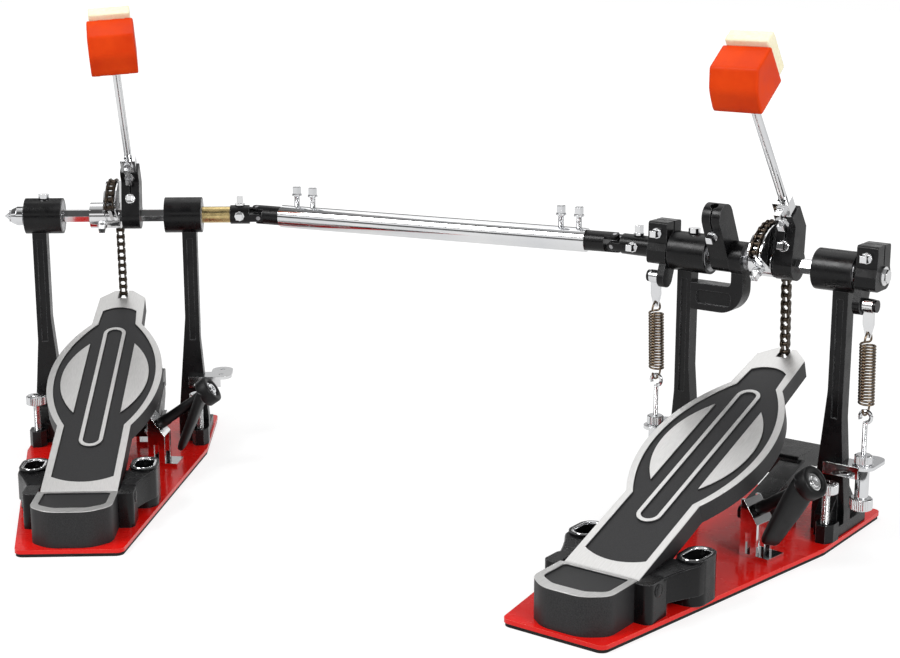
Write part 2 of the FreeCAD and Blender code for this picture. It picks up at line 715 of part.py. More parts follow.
def board_body(name, pedal):
    body = new_body(name, pedal.multiply(BOARD))
    tip_end = BOARD_LENGTH + dim.tip_margin
    chamfer_start = tip_end - dim.tip_chamfer
    tip_face = dim.board_tip - dim.tip_chamfer
    plan = new_sketch(body, "XY_Plane", "-board_skirt")
    draw(plan, board_outline(0, 0, chamfer_start,
                             [Vector(tip_face, tip_end, 0), Vector(-tip_face, tip_end, 0)]))
    pad(body, plan, "board_top + board_skirt")
    barrel = new_sketch(body, "YZ_Plane", "-board_half")
    draw_circle(barrel, "0", "0", "barrel_radius")
    pad(body, barrel, "2 * board_half")
    hollow = new_sketch(body, "XY_Plane", "board_top - board_skin")
    draw(hollow, board_outline(dim.board_skin, dim.barrel_radius + dim.board_skin,
                               BOARD_LENGTH - dim.field_back, []))
    pocket(body, hollow, "board_top + board_skirt")
    field = new_sketch(body, "XY_Plane", "board_top")
    ring_end = BOARD_LENGTH - dim.ring_back
    ring_middle = (dim.ring_start + ring_end) / 2
    ring_length = ring_end - dim.ring_start
    draw(field, field_outline())
    draw(field, slot_outline(0, ring_middle, ring_length, 2 * dim.ring_half))
    draw(field, slot_outline(0, ring_middle, ring_length - 2 * dim.ring_line,
                             2 * (dim.ring_half - dim.ring_line)))
    for side in (-1, 1):
        draw(field, island_outline(side))
    pocket(body, field, "field_depth")
    below = new_sketch(body, "YZ_Plane", "board_half + 1")
    near, under = -dim.barrel_radius - 1, -dim.board_skirt - 1
    draw(below, outline([(near, under), (dim.barrel_radius, under),
                         (dim.barrel_radius, -dim.barrel_radius),
                         (near, -dim.barrel_radius)]))
    pocket(body, below, "2 * board_half + 2")
    bore = new_sketch(body, "YZ_Plane", "board_half + 1")
    draw_circle(bore, "0", "0", "hinge_pin / 2 + fit_gap")
    pocket(body, bore, "2 * board_half + 2")
    notch_half = CHAIN_HALF + dim.free_gap
    notch = new_sketch(body, "XY_Plane", "board_top + 1")
    draw(notch, outline([(-notch_half, tip_end + 1), (-notch_half, BOARD_LENGTH - dim.link_height),
                         (notch_half, BOARD_LENGTH - dim.link_height), (notch_half, tip_end + 1)]))
    pocket(body, notch, "board_top + board_skirt + 2")
    seat = new_sketch(body, "YZ_Plane", "board_neck / 2")
    draw(seat, slot_along(BOARD_LENGTH, dim.slot_travel, dim.chain_pin / 2 + dim.free_gap))
    pocket(body, seat, "board_neck")
    return body


def slot_along(start, travel, half):
    """A slot from the pin's place at rest towards the tip."""
    far = start + travel
    return [
        Part.LineSegment(Vector(start, -half, 0), Vector(far, -half, 0)),
        Part.Arc(Vector(far, -half, 0), Vector(far + half, 0, 0), Vector(far, half, 0)),
        Part.LineSegment(Vector(far, half, 0), Vector(start, half, 0)),
        Part.Arc(Vector(start, half, 0), Vector(start - half, 0, 0), Vector(start, -half, 0)),
    ]


# Posts with their feet and bearing housings

def post_front():
    """The post seen from the drummer: a column with a gusset towards the middle, widening into its foot."""
    floor = value(FLOOR)
    inner = dim.post_half - dim.post_width / 2
    outer = dim.post_half + dim.post_width / 2
    top = dim.axle_height - dim.bearing_outer / 2
    shelf = floor + dim.foot_height
    return outline([(dim.gusset_foot, floor), (dim.foot_outer, floor),
                    (dim.foot_outer, shelf, dim.foot_height / 3),
                    (outer, dim.flare_top, 2 * dim.post_width), (outer, top), (inner, top),
                    (inner, dim.gusset_top, 2 * dim.post_width),
                    (dim.gusset_foot, shelf, dim.foot_height / 2)])


def post_body(name):
    body = new_body(name)
    front = new_sketch(body, "XZ_Plane", "-post_depth / 2")
    draw(front, post_front())
    pad(body, front, "post_depth")
    floor, half, height = value(FLOOR), dim.post_depth / 2, dim.foot_height
    rib = new_sketch(body, "YZ_Plane", "post_half - post_width / 2")
    draw(rib, outline([
        (-dim.foot_back, floor), (dim.foot_front, floor),
                       (dim.foot_front, floor + height / 2, height / 6),
        (half, dim.foot_shoulder, height / 2), (-half, dim.foot_shoulder),
                       (-half, floor + 1.7 * height, height / 3),
        (-dim.foot_back, floor + height, height / 6)]))
    pad(body, rib, "post_width")
    sole = new_sketch(body, "XY_Plane", FLOOR)
    inner = "post_half - post_width / 2"
    draw_polygon(sole, [(inner, "-foot_back"), ("foot_outer", "-foot_back"), ("foot_outer", "foot_front"),
                        (inner, "foot_front")])
    pad(body, sole, "foot_height / 2")
    lug = new_sketch(body, "XY_Plane", FLOOR)
    wide, narrow = dim.spur_lug, dim.spur_lug / 2
    draw(lug, outline([(dim.spur_x - wide, -dim.foot_back + 1), (dim.spur_x - wide, dim.spur_y),
                       (dim.spur_x - narrow, dim.spur_y - wide), (dim.spur_x + narrow, dim.spur_y - wide),
                       (dim.spur_x + wide, dim.spur_y), (dim.spur_x + wide, -dim.foot_back + 1)]))
    pad(body, lug, "0.8 * foot_height")
    thread = new_sketch(body, "XY_Plane", f"{FLOOR} + foot_height")
    draw_circle(thread, "spur_x", "spur_y", "spur_thread / 2 + fit_gap")
    pocket(body, thread, "foot_height + 1")
    for face in ("post_depth / 2", "post_groove - post_depth / 2"):
        groove = new_sketch(body, "XZ_Plane", face)
        left, right = "post_half - groove_half", "post_half + groove_half"
        high = "axle_height - housing_radius - 2 * groove_half"
        draw_polygon(groove, [(left, "flare_top"), (right, "flare_top"), (right, high), (left, high)])
        pocket(body, groove, "post_groove")
    housing = new_sketch(body, "YZ_Plane", "housing_inner")
    draw_circle(housing, "0", "axle_height", "housing_radius")
    pad(body, housing, "housing_outer - housing_inner")
    bore = new_sketch(body, "YZ_Plane", "housing_outer")
    draw_circle(bore, "0", "axle_height", "bearing_outer / 2")
    pocket(body, bore, "housing_outer - housing_inner")
    return body


def make_posts():
    for label, pedal in (("main_posts", MAIN), ("slave_posts", SLAVE)):
        post = post_body(label + "_right")
        node(group(label + "_pair", [post, mirrored(post)], pedal), label)


def bearing_shape(outer, width):
    """A bearing cartridge or bush from the origin along Z."""
    bore = dim.journal / 2 + dim.fit_gap
    return Part.makeCylinder(outer / 2, width).cut(Part.makeCylinder(bore, width))


ALONG_X = Rotation(Y_AXIS, 90)
AWAY_X = Rotation(Y_AXIS, -90)


def make_bearings():
    width = dim.housing_outer - dim.housing_inner
    cartridge = bearing_shape(dim.bearing_outer, width)
    bush = bearing_shape(dim.bush_outer, dim.bush_width)
    shapes = []
    for pedal in (MAIN, SLAVE):
        for x in (dim.housing_inner, -dim.housing_outer):
            shapes.append(placed(cartridge, pedal.multiply(seat_at(x, 0, dim.axle_height, ALONG_X))))
    for x in (dim.outrigger_left, dim.outrigger_right - dim.bush_width):
        shapes.append(placed(bush, seat_at(x, 0, dim.axle_height, ALONG_X)))
    node(copies("bearings", shapes), "axle_bearings")


# Outrigger bracket: a bar from the main pedal's left post that bends up to carry both axles' inner ends

def make_outrigger():
    body = new_body("outrigger")
    front = new_sketch(body, "XZ_Plane", "-outrigger_depth / 2")
    start = -dim.post_half + dim.post_width / 2
    low = dim.axle_height - dim.outrigger_drop
    high = low + dim.outrigger_bar
    draw(front, outline([
        (start, low), (dim.outrigger_right, low, dim.outrigger_bend),
                         (dim.outrigger_right, dim.axle_height),
        (dim.outrigger_left, dim.axle_height), (dim.outrigger_left, high, dim.outrigger_bend / 6),
                         (start, high)]))
    pad(body, front, "outrigger_depth")
    ring = new_sketch(body, "YZ_Plane", "outrigger_left")
    draw_circle(ring, "0", "axle_height", "bush_outer / 2 + bush_wall")
    pad(body, ring, "outrigger_right - outrigger_left")
    bore = new_sketch(body, "YZ_Plane", "outrigger_right")
    draw_circle(bore, "0", "axle_height", "bush_outer / 2")
    pocket(body, bore, "outrigger_right - outrigger_left")
    rim = dim.outrigger_bar / 4
    for face in ("outrigger_depth / 2", "outrigger_panel - outrigger_depth / 2"):
        panel = new_sketch(body, "XZ_Plane", face)
        draw(panel, outline([(start + rim, low + rim, rim / 2), (dim.outrigger_left, low + rim, rim / 2),
                             (dim.outrigger_left, high - rim, rim / 2),
                             (start + rim, high - rim, rim / 2)]))
        pocket(body, panel, "outrigger_panel")
    node(body, "outrigger_bracket")


# Axles: a round bar with hexagonal stretches

def axle_body(name, start, finish, hexes, pedal):
    body = new_body(name, pedal.multiply(AXLE))
    core = new_sketch(body, "YZ_Plane", start)
    draw_circle(core, "0", "0", "journal / 2")
    pad(body, core, f"{finish} - ({start})")
    for low, high in hexes:
        sketch = new_sketch(body, "YZ_Plane", low)
        draw_polygon(sketch, hexagon("journal"))
        pad(body, sketch, f"{high} - ({low})")
    return body


OUTPUT_END = "outrigger_left + bush_width"

MAIN_END = "outrigger_right - bush_width"


def make_axles():
    near, far = "housing_inner - free_gap", "housing_outer + free_gap"
    main_tip = LEVER_OUTER + " - 1"
    node(axle_body("main_bar", MAIN_END, main_tip, [("boss_left + main_shift", near), (far, main_tip)],
                   MAIN), "main_axle")
    slave_tip = SLAVE_CROSS + " - yoke_throat - 2"
    node(axle_body("slave_bar", "4 - housing_outer - acorn_length", slave_tip, [(f"-({near})", near)], SLAVE),
         "slave_axle")
    node(axle_body("output_bar", OUTPUT_CROSS + " + yoke_throat + 2", OUTPUT_END,
                   [("-" + LEVER_OUTER, f"-({far})"), (f"-({near})", "second_left + second_width")], MAIN),
         "output_axle")


# Sprockets: a toothed web between two flanges on a boss, open below

def sector_outline(radius, low, high):
    """A round sector about the axle, closed over the boss."""
    def spot(degrees):
        turn = math.radians(degrees)
        return Vector(radius * math.cos(turn), radius * math.sin(turn), 0)
    start, finish = spot(low), spot(high)
    foot = 0.9 * dim.boss_radius
    left, right = Vector(-foot, -foot / 3, 0), Vector(foot, -foot / 3, 0)
    return [Part.Arc(start, spot((low + high) / 2), finish), Part.LineSegment(finish, left),
            Part.LineSegment(left, right), Part.LineSegment(right, start)]


def sprocket_body(name, pedal, left):
    body = new_body(name, pedal.multiply(AXLE))
    last = dim.run_lean + CHAIN.step * (3 + dim.wrap_links)
    seat = CHAIN.radius - dim.roller / 2 - dim.link_gap
    boss = new_sketch(body, "YZ_Plane", left)
    draw_circle(boss, "0", "0", "boss_radius")
    pad(body, boss, f"boss_right - {left}")
    web = new_sketch(body, "YZ_Plane", "-sprocket_web / 2")
    draw(web, sector_outline(seat, dim.run_lean, last + CHAIN.step / 2))
    pad(body, web, "sprocket_web")
    for low in (f"-({FLANGE_INNER}) - flange_thick", FLANGE_INNER):
        flange = new_sketch(body, "YZ_Plane", low)
        draw(flange, sector_outline(CHAIN.radius + dim.flange_rise, -CHAIN.step / 2,
                                    last + CHAIN.step / 2))
        pad(body, flange, "flange_thick")
    tooth = new_sketch(body, "YZ_Plane", "-sprocket_web / 2")
    turn = math.radians(dim.run_lean + CHAIN.step / 2)
    ray = Vector(math.cos(turn), math.sin(turn), 0)
    across = Vector(-ray.y, ray.x, 0) * (dim.chain_pitch - dim.roller)
    base, tip = ray * (seat - 1), ray * (seat + dim.tooth_height)
    corners = [base - across * 0.35, tip - across * 0.15, tip + across * 0.15, base + across * 0.35]
    draw(tooth, outline([(corner.x, corner.y) for corner in corners]))
    first = pad(body, tooth, "sprocket_web")
    doc.recompute()
    row = body.newObject("PartDesign::PolarPattern", name + "_teeth")
    row.Originals = [first]
    row.Axis = (plane_of(body, "X_Axis"), [""])
    bind(row, "Occurrences", "wrap_links + 3")
    bind(row, "Angle", "360 / teeth * (wrap_links + 2)")
    body.Tip = row
    bore = new_sketch(body, "YZ_Plane", "boss_right")
    draw_polygon(bore, hexagon("journal + 2 * fit_gap"))
    pocket(body, bore, f"boss_right - {left}")
    anchor = new_sketch(body, "YZ_Plane", f"{FLANGE_INNER} + flange_thick")
    spot = turned(Z_AXIS, last).multVec(Vector(CHAIN.radius, 0, 0))
    draw(anchor, [Part.Circle(spot, Z_AXIS, dim.chain_pin / 2 + dim.fit_gap)])
    pocket(body, anchor, f"2 * ({FLANGE_INNER} + flange_thick)")
    return body


FLANGE_INNER = "chain_inner / 2 + 2 * link_plate + link_gap + pin_head + free_gap"


# Chain: inner links carry bushes, outer links carry pins

def link_plate(start, finish, low, high):
    """One side plate with eight corners between two pins in the YZ plane."""
    along = (finish - start).normalize()
    across = X_AXIS.cross(along)
    half = dim.link_height / 2
    flat = half * 0.45
    ends = [start - along * half + across * flat, start - along * flat + across * half,
            finish + along * flat + across * half, finish + along * half + across * flat,
            finish + along * half - across * flat, finish + along * flat - across * half,
            start - along * flat - across * half, start - along * half - across * flat]
    shift = X_AXIS * low
    wire = Part.makePolygon([corner + shift for corner in ends + ends[:1]])
    return Part.Face(wire).extrude(X_AXIS * (high - low))


def link_plates(start, finish, outer):
    near = dim.chain_inner / 2 + (dim.link_plate + dim.link_gap if outer else 0)
    far = near + dim.link_plate
    return [link_plate(start, finish, near, far), link_plate(start, finish, -far, -near)]


def cross_rod(spot, radius, half):
    return rod_shape(spot - X_AXIS * half, X_AXIS, radius, 2 * half)


def roller_shape(spot):
    """A roller on its bush, six-sided, between the inner plates."""
    half = dim.chain_inner / 2 + dim.link_plate + dim.link_gap
    return placed(prism(6, dim.roller / 2, -half, half), Placement(spot, ALONG_X))


def inner_link(start, finish):
    """One link with bushes bored for the pins of its neighbours."""
    half = dim.chain_inner / 2 + dim.link_plate
    plates = link_plates(start, finish, False)
    solid = plates[0].multiFuse(plates[1:]
                                + [cross_rod(spot, dim.roller / 2, half) for spot in (start, finish)])
    for spot in (start, finish):
        solid = solid.cut(cross_rod(spot, dim.chain_pin / 2 + dim.pin_gap, 2 * half))
    return solid.removeSplitter()


def chain_strand(spots, last_half):
    """A stiff stretch of chain in one piece: a round pin first, rollers between, a long pin last."""
    pieces = [cross_rod(spots[0], dim.chain_pin / 2, CHAIN_HALF),
              cross_rod(spots[-1], dim.chain_pin / 2, last_half)]
    pieces += [roller_shape(spot) for spot in spots[1:-1]]
    for index in range(len(spots) - 1):
        pieces += link_plates(spots[index], spots[index + 1], index % 2 == 0)
    return pieces[0].multiFuse(pieces[1:]).removeSplitter()


def wrap_pin(index):
    """Pin number index counted up the sprocket from where the run leaves it."""
    degrees = dim.run_lean + CHAIN.step * index
    return Vector(0, CHAIN.radius * math.cos(math.radians(degrees)),
                  dim.axle_height + CHAIN.radius * math.sin(math.radians(degrees)))


def chain_nodes(prefix, pedal):
    wrap_count = int(round(dim.wrap_links))
    run_count = int(round(dim.run_links))
    pins = [wrap_pin(index) for index in range(wrap_count + 4)]
    wrap = chain_strand(pins[3:], value(FLANGE_INNER) + dim.flange_thick)
    along = (CHAIN.end - CHAIN.leave) * (1 / run_count)
    run = chain_strand([CHAIN.leave + along * index for index in range(run_count + 1)],
                       dim.board_neck / 2 - 1)
    plates = link_plates(pins[2], pins[1], True)
    middle = plates[0].multiFuse(plates[1:]
                                 + [cross_rod(pin, dim.chain_pin / 2, CHAIN_HALF) for pin in pins[1:3]])
    for suffix, shape in (("chain_wrap", wrap), ("chain_link_a", inner_link(pins[1], pins[0])),
                          ("chain_link_b", middle.removeSplitter()),
                          ("chain_link_c", inner_link(pins[3], pins[2])),
                          ("chain_run", run)):
        node(feature_of(prefix + suffix, shape, pedal), prefix + suffix)


# Beaters: hub, rod, head and felt, built upright about the axle and leaned back

def axle_hexagon(body, left, width, lean):
    """The bore for the axle's hexagon, level while the hub leans."""
    bore = new_sketch(body, "YZ_Plane", f"{left} + {width}")
    draw_polygon(bore, hexagon("journal + 2 * fit_gap", lean))
    pocket(body, bore, width)


def rod_socket(body, left, width, offset, foot, top, key_level):
    """The rod's socket from the top, with the slit and the key screw's hole on the drummer's side."""
    middle = f"{left} + {width} / 2"
    front, depth = "hub_radius + 4", f"hub_radius + 4 + {offset}"
    socket = new_sketch(body, "XY_Plane", f"{top} + 1")
    draw_circle(socket, middle, offset, "rod / 2 + fit_gap")
    pocket(body, socket, f"{top} + 1 - ({foot})")
    tapped = new_sketch(body, "XZ_Plane", front)
    draw_circle(tapped, middle, key_level, "key_shank + fit_gap")
    pocket(body, tapped, depth)
    slit = new_sketch(body, "XZ_Plane", front)
    near, far = f"{middle} - clamp_slit / 2", f"{middle} + clamp_slit / 2"
    low, high = f"{foot} + 2", f"{top} + 1"
    draw_polygon(slit, [(near, low), (far, low), (far, high), (near, high)])
    pocket(body, slit, depth)


def hub_body(name, pedal, lean):
    """A round hub on the axle whose arm reaches up and back to the rod's clamp."""
    body = new_body(name, leaned(pedal, lean))
    radius, top = dim.hub_radius, dim.hub_height
    near = dim.rod_offset - dim.rod / 2 - dim.clamp_wall
    far = dim.rod_offset + dim.rod / 2 + dim.clamp_wall
    spots = [Vector(-radius * math.cos(math.radians(40)), radius * math.sin(math.radians(40)), 0),
             Vector(0, -radius, 0),
             Vector(radius, 0, 0), Vector(far, dim.rod_foot - 2, 0), Vector(far, top, 0),
             Vector(near, top, 0),
             Vector(near, top - 2.4 * dim.key_flange, 0)]
    side = new_sketch(body, "YZ_Plane", "hub_left")
    lines = [Part.LineSegment(spots[index], spots[(index + 1) % 7]) for index in range(2, 7)]
    draw(side, [Part.Arc(*spots[:3])] + lines)
    pad(body, side, "hub_width")
    fillet(body, "hub_radius / 8", lambda edge: is_along(edge, X_AXIS))
    axle_hexagon(body, "hub_left", "hub_width", lean)
    rod_socket(body, "hub_left", "hub_width", "rod_offset", "rod_foot", "hub_height", HUB_KEY)
    return body


def leaned(pedal, lean):
    """The frame of a beater: its axle, turned back."""
    return pedal.multiply(AXLE).multiply(turned(X_AXIS, value(lean)))


def head_profile():
    """The head's side: flat against the felt and on top, rounded towards the drummer."""
    middle, half = dim.head_distance, dim.head_height / 2
    back, front = dim.rod_offset + dim.head_back, dim.rod_offset - dim.head_front
    crown = dim.rod_offset - dim.head_crown
    return outline([(back, middle - half), (back, middle + half), (crown, middle + half, dim.head_round),
                    (0.8 * front + 0.2 * crown, middle + 0.15 * half, dim.head_height / 2),
                    (front, middle - 0.7 * half, dim.head_height / 6),
                    (front, middle - half, dim.head_round)])


ROD_X = "hub_left + hub_width / 2"


def beater_nodes(prefix, pedal, lean, twist):
    place = leaned(pedal, lean)
    node(hub_body(prefix + "hub", pedal, lean), prefix + "beater_hub")
    rod = new_body(prefix + "rod", place)
    round_bar = new_sketch(rod, "XY_Plane", "rod_foot")
    draw_circle(round_bar, ROD_X, "rod_offset", "rod / 2")
    pad(rod, round_bar, "head_distance + head_height / 4 - rod_foot")
    node(rod, prefix + "beater_rod")
    line = Vector(value(ROD_X), dim.rod_offset, 0)
    turn = Rotation(Z_AXIS, twist)
    head_place = place.multiply(Placement(line - turn.multVec(line), turn))
    head = new_body(prefix + "head", head_place)
    side = new_sketch(head, "YZ_Plane", f"{ROD_X} - head_width / 2")
    draw(side, head_profile())
    pad(head, side, "head_width")
    bore = new_sketch(head, "XY_Plane", "head_distance + head_height / 4")
    draw_circle(bore, ROD_X, "rod_offset", "rod / 2 + fit_gap")
    pocket(head, bore, "head_height")
    node(head, prefix + "beater_head")
    felt = new_body(prefix + "felt", head_place)
    pad_side = new_sketch(felt, "YZ_Plane", f"{ROD_X} - head_width / 2 + felt_inset")
    low = dim.head_distance - dim.head_height / 2 + dim.felt_inset
    high = dim.head_distance + dim.head_height / 2 + dim.felt_rise
    back = dim.rod_offset + dim.head_back
    far = back + dim.felt_thick
    draw(pad_side, outline([(back, low), (far, low, dim.felt_round), (far, high, dim.felt_round),
                            (back, high)]))
    pad(felt, pad_side, "head_width - 2 * felt_inset")
    node(felt, prefix + "beater_felt")


# Key screws: square head, flange and shank along Z, seated at the origin

def key_screw(shank):
    """Square head, flange and, where it goes into a hole, a shank; seated at the origin and upright."""
    rise = dim.key_flange_height
    half = dim.key_square / 2
    square = Part.makeBox(dim.key_square, dim.key_square, dim.key_head, Vector(-half, -half, rise))
    pieces = [square] + ([prism(6, dim.key_shank, -shank, 0)] if shank else [])
    return prism(8, dim.key_flange, 0, rise).multiFuse(pieces)


TO_DRUMMER = Rotation(X_AXIS, 90)

BOSS_SCREW = 35

UPRIGHT = Rotation()


def seat_at(x, y, z, rotation):
    return Placement(Vector(x, y, z), rotation)


def rod_saddle():
    """The bright channel that clamps the rod above the hub."""
    outer = dim.rod / 2 + dim.saddle_wall
    inner = dim.rod / 2 + dim.fit_gap
    low, rise = dim.hub_height + dim.seat_gap, dim.saddle_height
    block = Part.makeBox(2 * outer, outer + dim.saddle_wall, rise, Vector(-outer, -outer, low))
    slot = Part.makeBox(2 * inner, 2 * outer, rise + 2, Vector(-inner, -inner, low - 1))
    return block.cut(slot)


def screw_nodes():
    rod_x = value(ROD_X)
    lever_x = value(LEVER_INNER) + dim.lever_width / 2
    lever_seat = seat_at(lever_x, -dim.lever_cheek - dim.seat_gap, dim.lever_top - 2 * dim.key_flange,
                         TO_DRUMMER)
    clamp_face = dim.rod_offset - dim.rod / 2 - dim.clamp_wall
    saddle_face = dim.rod_offset - dim.rod / 2 - dim.saddle_wall
    plain, tapped = key_screw(0), key_screw(dim.clamp_wall - dim.free_gap)
    below = Rotation(X_AXIS, 90 + BOSS_SCREW)
    boss_seat = below.multVec(Z_AXIS) * (dim.boss_radius + dim.seat_gap)
    cross_seat = dim.yoke_radius + dim.seat_gap
    for prefix, pedal, lean, left in (("main_", TRAIN, "main_lean", dim.boss_left),
                                      ("slave_", SLAVE, "slave_lean", dim.slave_boss_left)):
        axle = pedal.multiply(AXLE)
        beater = leaned(pedal, lean)
        boss_x = (left + dim.boss_right) / 2 - 2
        saddle_seat = seat_at(rod_x, saddle_face - dim.seat_gap, dim.hub_height + dim.saddle_height / 2,
                              TO_DRUMMER)
        shapes = [placed(tapped, beater.multiply(seat_at(rod_x, clamp_face - dim.seat_gap,
                                                         value(HUB_KEY), TO_DRUMMER))),
                  placed(rod_saddle(), beater.multiply(moved(rod_x, dim.rod_offset))),
                  placed(plain, beater.multiply(saddle_seat)),
                  placed(plain, axle.multiply(seat_at(boss_x, boss_seat.y, boss_seat.z, below)))]
        if prefix == "main_":
            shapes.append(placed(plain, AXLE.multiply(lever_seat)))
            shapes.append(placed(axle_cap(),
                                 AXLE.multiply(seat_at(value(LEVER_OUTER) + dim.seat_gap, 0, 0, ALONG_X))))
        else:
            yoke_x = value(SLAVE_CROSS) - dim.yoke_throat - dim.slave_yoke_base / 2
            shapes.append(placed(plain, axle.multiply(seat_at(yoke_x, -cross_seat, 0, TO_DRUMMER))))
            shapes.append(placed(plain, axle.multiply(seat_at(yoke_x, 0, cross_seat, UPRIGHT))))
            shapes.append(placed(acorn_nut(),
                                 axle.multiply(seat_at(-dim.housing_outer - 2, 0, 0, AWAY_X))))
        node(copies(prefix + "screws", shapes), prefix + "key_screws")
    second_x = dim.second_left + dim.second_width / 2
    second_face = 0.9 * dim.hub_radius
    yoke_x = value(OUTPUT_CROSS) + dim.yoke_throat + dim.output_yoke_base / 2
    second_screw = key_screw(second_face - dim.rod / 2 - dim.free_gap)
    second_seat = seat_at(second_x, -second_face - dim.seat_gap, value(SECOND_KEY), TO_DRUMMER)
    mirror_seat = seat_at(-lever_x, lever_seat.Base.y, lever_seat.Base.z, TO_DRUMMER)
    shapes = [placed(second_screw, leaned(MAIN, "second_lean").multiply(second_seat)),
              placed(plain, AXLE.multiply(mirror_seat)),
              placed(plain, AXLE.multiply(seat_at(yoke_x, -cross_seat, 0, TO_DRUMMER))),
              placed(plain, AXLE.multiply(seat_at(yoke_x, 0, cross_seat, UPRIGHT)))]
    node(copies("output_screws", shapes), "output_key_screws")


def axle_cap():
    """The bolt and washer in the main axle's end."""
    return prism(12, dim.journal * 0.7, 0, 1.5).fuse(prism(6, dim.journal / 2, 1.5, 4))


def acorn_nut():
    """Domed nut on the slave axle's free end, with its washer."""
    bore = dim.journal / 2 + dim.fit_gap
    radius = dim.acorn_radius
    reach = dim.acorn_length
    return turned_shape([(bore, 0), (radius, 0), (radius, reach / 3), (0.75 * radius, 0.6 * reach),
                         (0, reach),
                         (0, reach - 4), (bore, reach - 4.2)])


# Spring levers, hangers, springs and tensioners

LEVER_TURN = math.radians(dim.lever_angle)

PIVOT = Vector(0, -dim.lever_reach * math.sin(LEVER_TURN),
               dim.axle_height - dim.lever_reach * math.cos(LEVER_TURN))

HOOK = Vector(0, dim.hook_y, dim.hook_z)

SPRING_LENGTH = (HOOK - PIVOT).Length

SPRING_LEAN = math.degrees(math.atan2(HOOK.y - PIVOT.y, PIVOT.z - HOOK.z))

SPRING = turned(X_AXIS, SPRING_LEAN, PIVOT)

SPRING_X = value(LEVER_INNER) + dim.arm_thick + dim.free_gap + dim.hanger_width / 2


def lever_body(name):
    body = new_body(name)
    radius, cheek, level = dim.lever_radius, dim.lever_cheek, dim.axle_height
    top, low = level + dim.lever_top, level - 0.8 * radius
    clamp = new_sketch(body, "YZ_Plane", LEVER_INNER)
    draw(clamp, outline([(-cheek, top, 2), (-cheek, level + 6, 3), (-radius, level), (-radius, low, 4),
                         (radius, low, 8),
                         (radius, level), (cheek, level + 6, 3), (cheek, top, 2)]))
    pad(body, clamp, "lever_width")
    arm = new_sketch(body, "YZ_Plane", LEVER_INNER)
    toward = Vector(math.cos(LEVER_TURN), -math.sin(LEVER_TURN), 0) * dim.arm_end
    down = Vector(-math.sin(LEVER_TURN), -math.cos(LEVER_TURN), 0) * dim.arm_end
    centre = Vector(0, level, 0)
    end = Vector(PIVOT.y, PIVOT.z, 0)
    draw(arm, [Part.LineSegment(centre + toward, end + toward),
               Part.Arc(end + toward, end + down, end - toward),
               Part.LineSegment(end - toward, centre - toward),
               Part.LineSegment(centre - toward, centre + toward)])
    pad(body, arm, "arm_thick")
    split = new_sketch(body, "XY_Plane", "axle_height + lever_top + 1")
    near, far, half = LEVER_INNER + " - 1", LEVER_OUTER + " + 1", "lever_slit / 2"
    draw_polygon(split, [(near, f"-{half}"), (far, f"-{half}"), (far, half), (near, half)])
    pocket(body, split, "lever_top + 1")
    bore = new_sketch(body, "YZ_Plane", LEVER_OUTER)
    draw_polygon(bore, [(x, f"axle_height + {y}") for x, y in hexagon("journal + 2 * fit_gap")])
    pocket(body, bore, "lever_width")
    bolt = new_sketch(body, "YZ_Plane", LEVER_INNER + " + arm_thick")
    draw(bolt, [Part.Circle(end, Z_AXIS, dim.pivot_bolt / 2)])
    pad(body, bolt, "hanger_width + 2 * free_gap")
    cap = new_sketch(body, "YZ_Plane", LEVER_INNER + " + arm_thick + hanger_width + 2 * free_gap")
    draw(cap, [Part.Circle(end, Z_AXIS, dim.pivot_bolt * 0.9)])
    pad(body, cap, "pivot_cap")
    return body


def hanger_shape():
    """The bright stirrup between a lever and its spring, its pivot at the origin of the spring's frame."""
    half = dim.hanger_width / 2
    eye = cross_rod(Vector(), dim.hanger_radius, half)
    reach = dim.hanger_length + dim.wire + 2
    tip = dim.wire
    corners = [(-half, -1), (half, -1), (half, -0.6 * reach), (tip, -reach), (-tip, -reach),
               (-half, -0.6 * reach)]
    flat = [Vector(x, -dim.hanger_thick / 2, z) for x, z in corners]
    tongue = Part.Face(Part.makePolygon(flat + flat[:1])).extrude(Y_AXIS * dim.hanger_thick)
    hole = rod_shape(Vector(0, -dim.hanger_radius, -dim.hanger_length), Y_AXIS,
                     dim.wire / 2 + dim.free_gap,
                     2 * dim.hanger_radius)
    bore = cross_rod(Vector(), dim.pivot_bolt / 2 + dim.fit_gap, half + 1)
    return eye.fuse(tongue).cut(hole).cut(bore)


def helix_point(radius, top, drop, angle):
    """A point of a helix that falls by drop for each radian."""
    return Vector(radius * math.cos(angle), radius * math.sin(angle), top - drop * angle)


def spring_arcs():
    """The spring's wire as arcs: half loop, bend, quarter turns of the coil, bend, half loop."""
    radius, bend = dim.spring_radius, dim.loop_bend
    slope = dim.wire / (2 * math.pi * radius)
    offset = bend * (1 - math.sin(slope))
    loop = math.hypot(radius, offset)
    swing = math.atan2(offset, radius)
    reach = bend + loop
    top = -dim.hanger_length - reach
    bottom = -SPRING_LENGTH + reach
    turns = max(2, int((top - bottom) / (dim.wire + dim.coil_gap)))
    sweep = 2 * math.pi * turns - 2 * swing
    drop = (top - bottom) / sweep
    count = 4 * turns
    points = [helix_point(radius, top, drop, sweep * step / count / 2) for step in range(2 * count + 1)]
    arcs = [Part.Arc(*points[2 * step:2 * step + 3]) for step in range(count)]
    upper = [Vector(-radius, offset, top + bend), Vector(0, 0, top + reach),
             Vector(radius, -offset, top + bend)]
    corner = bend * math.sqrt(0.5)
    entry = Vector(radius, -corner, top + bend - corner)
    head = [Part.Arc(*upper), Part.Arc(upper[2], entry, points[0])]
    turn = Placement(Vector(0, 0, top + bottom), Rotation(X_AXIS, 180))
    turn = turned(Z_AXIS, math.degrees(sweep)).multiply(turn)
    tail = [Part.Arc(*[turn.multVec(spot) for spot in reversed(spots)])
            for spots in ((upper[2], entry, points[0]), upper)]
    return head + arcs + tail, math.degrees(swing)


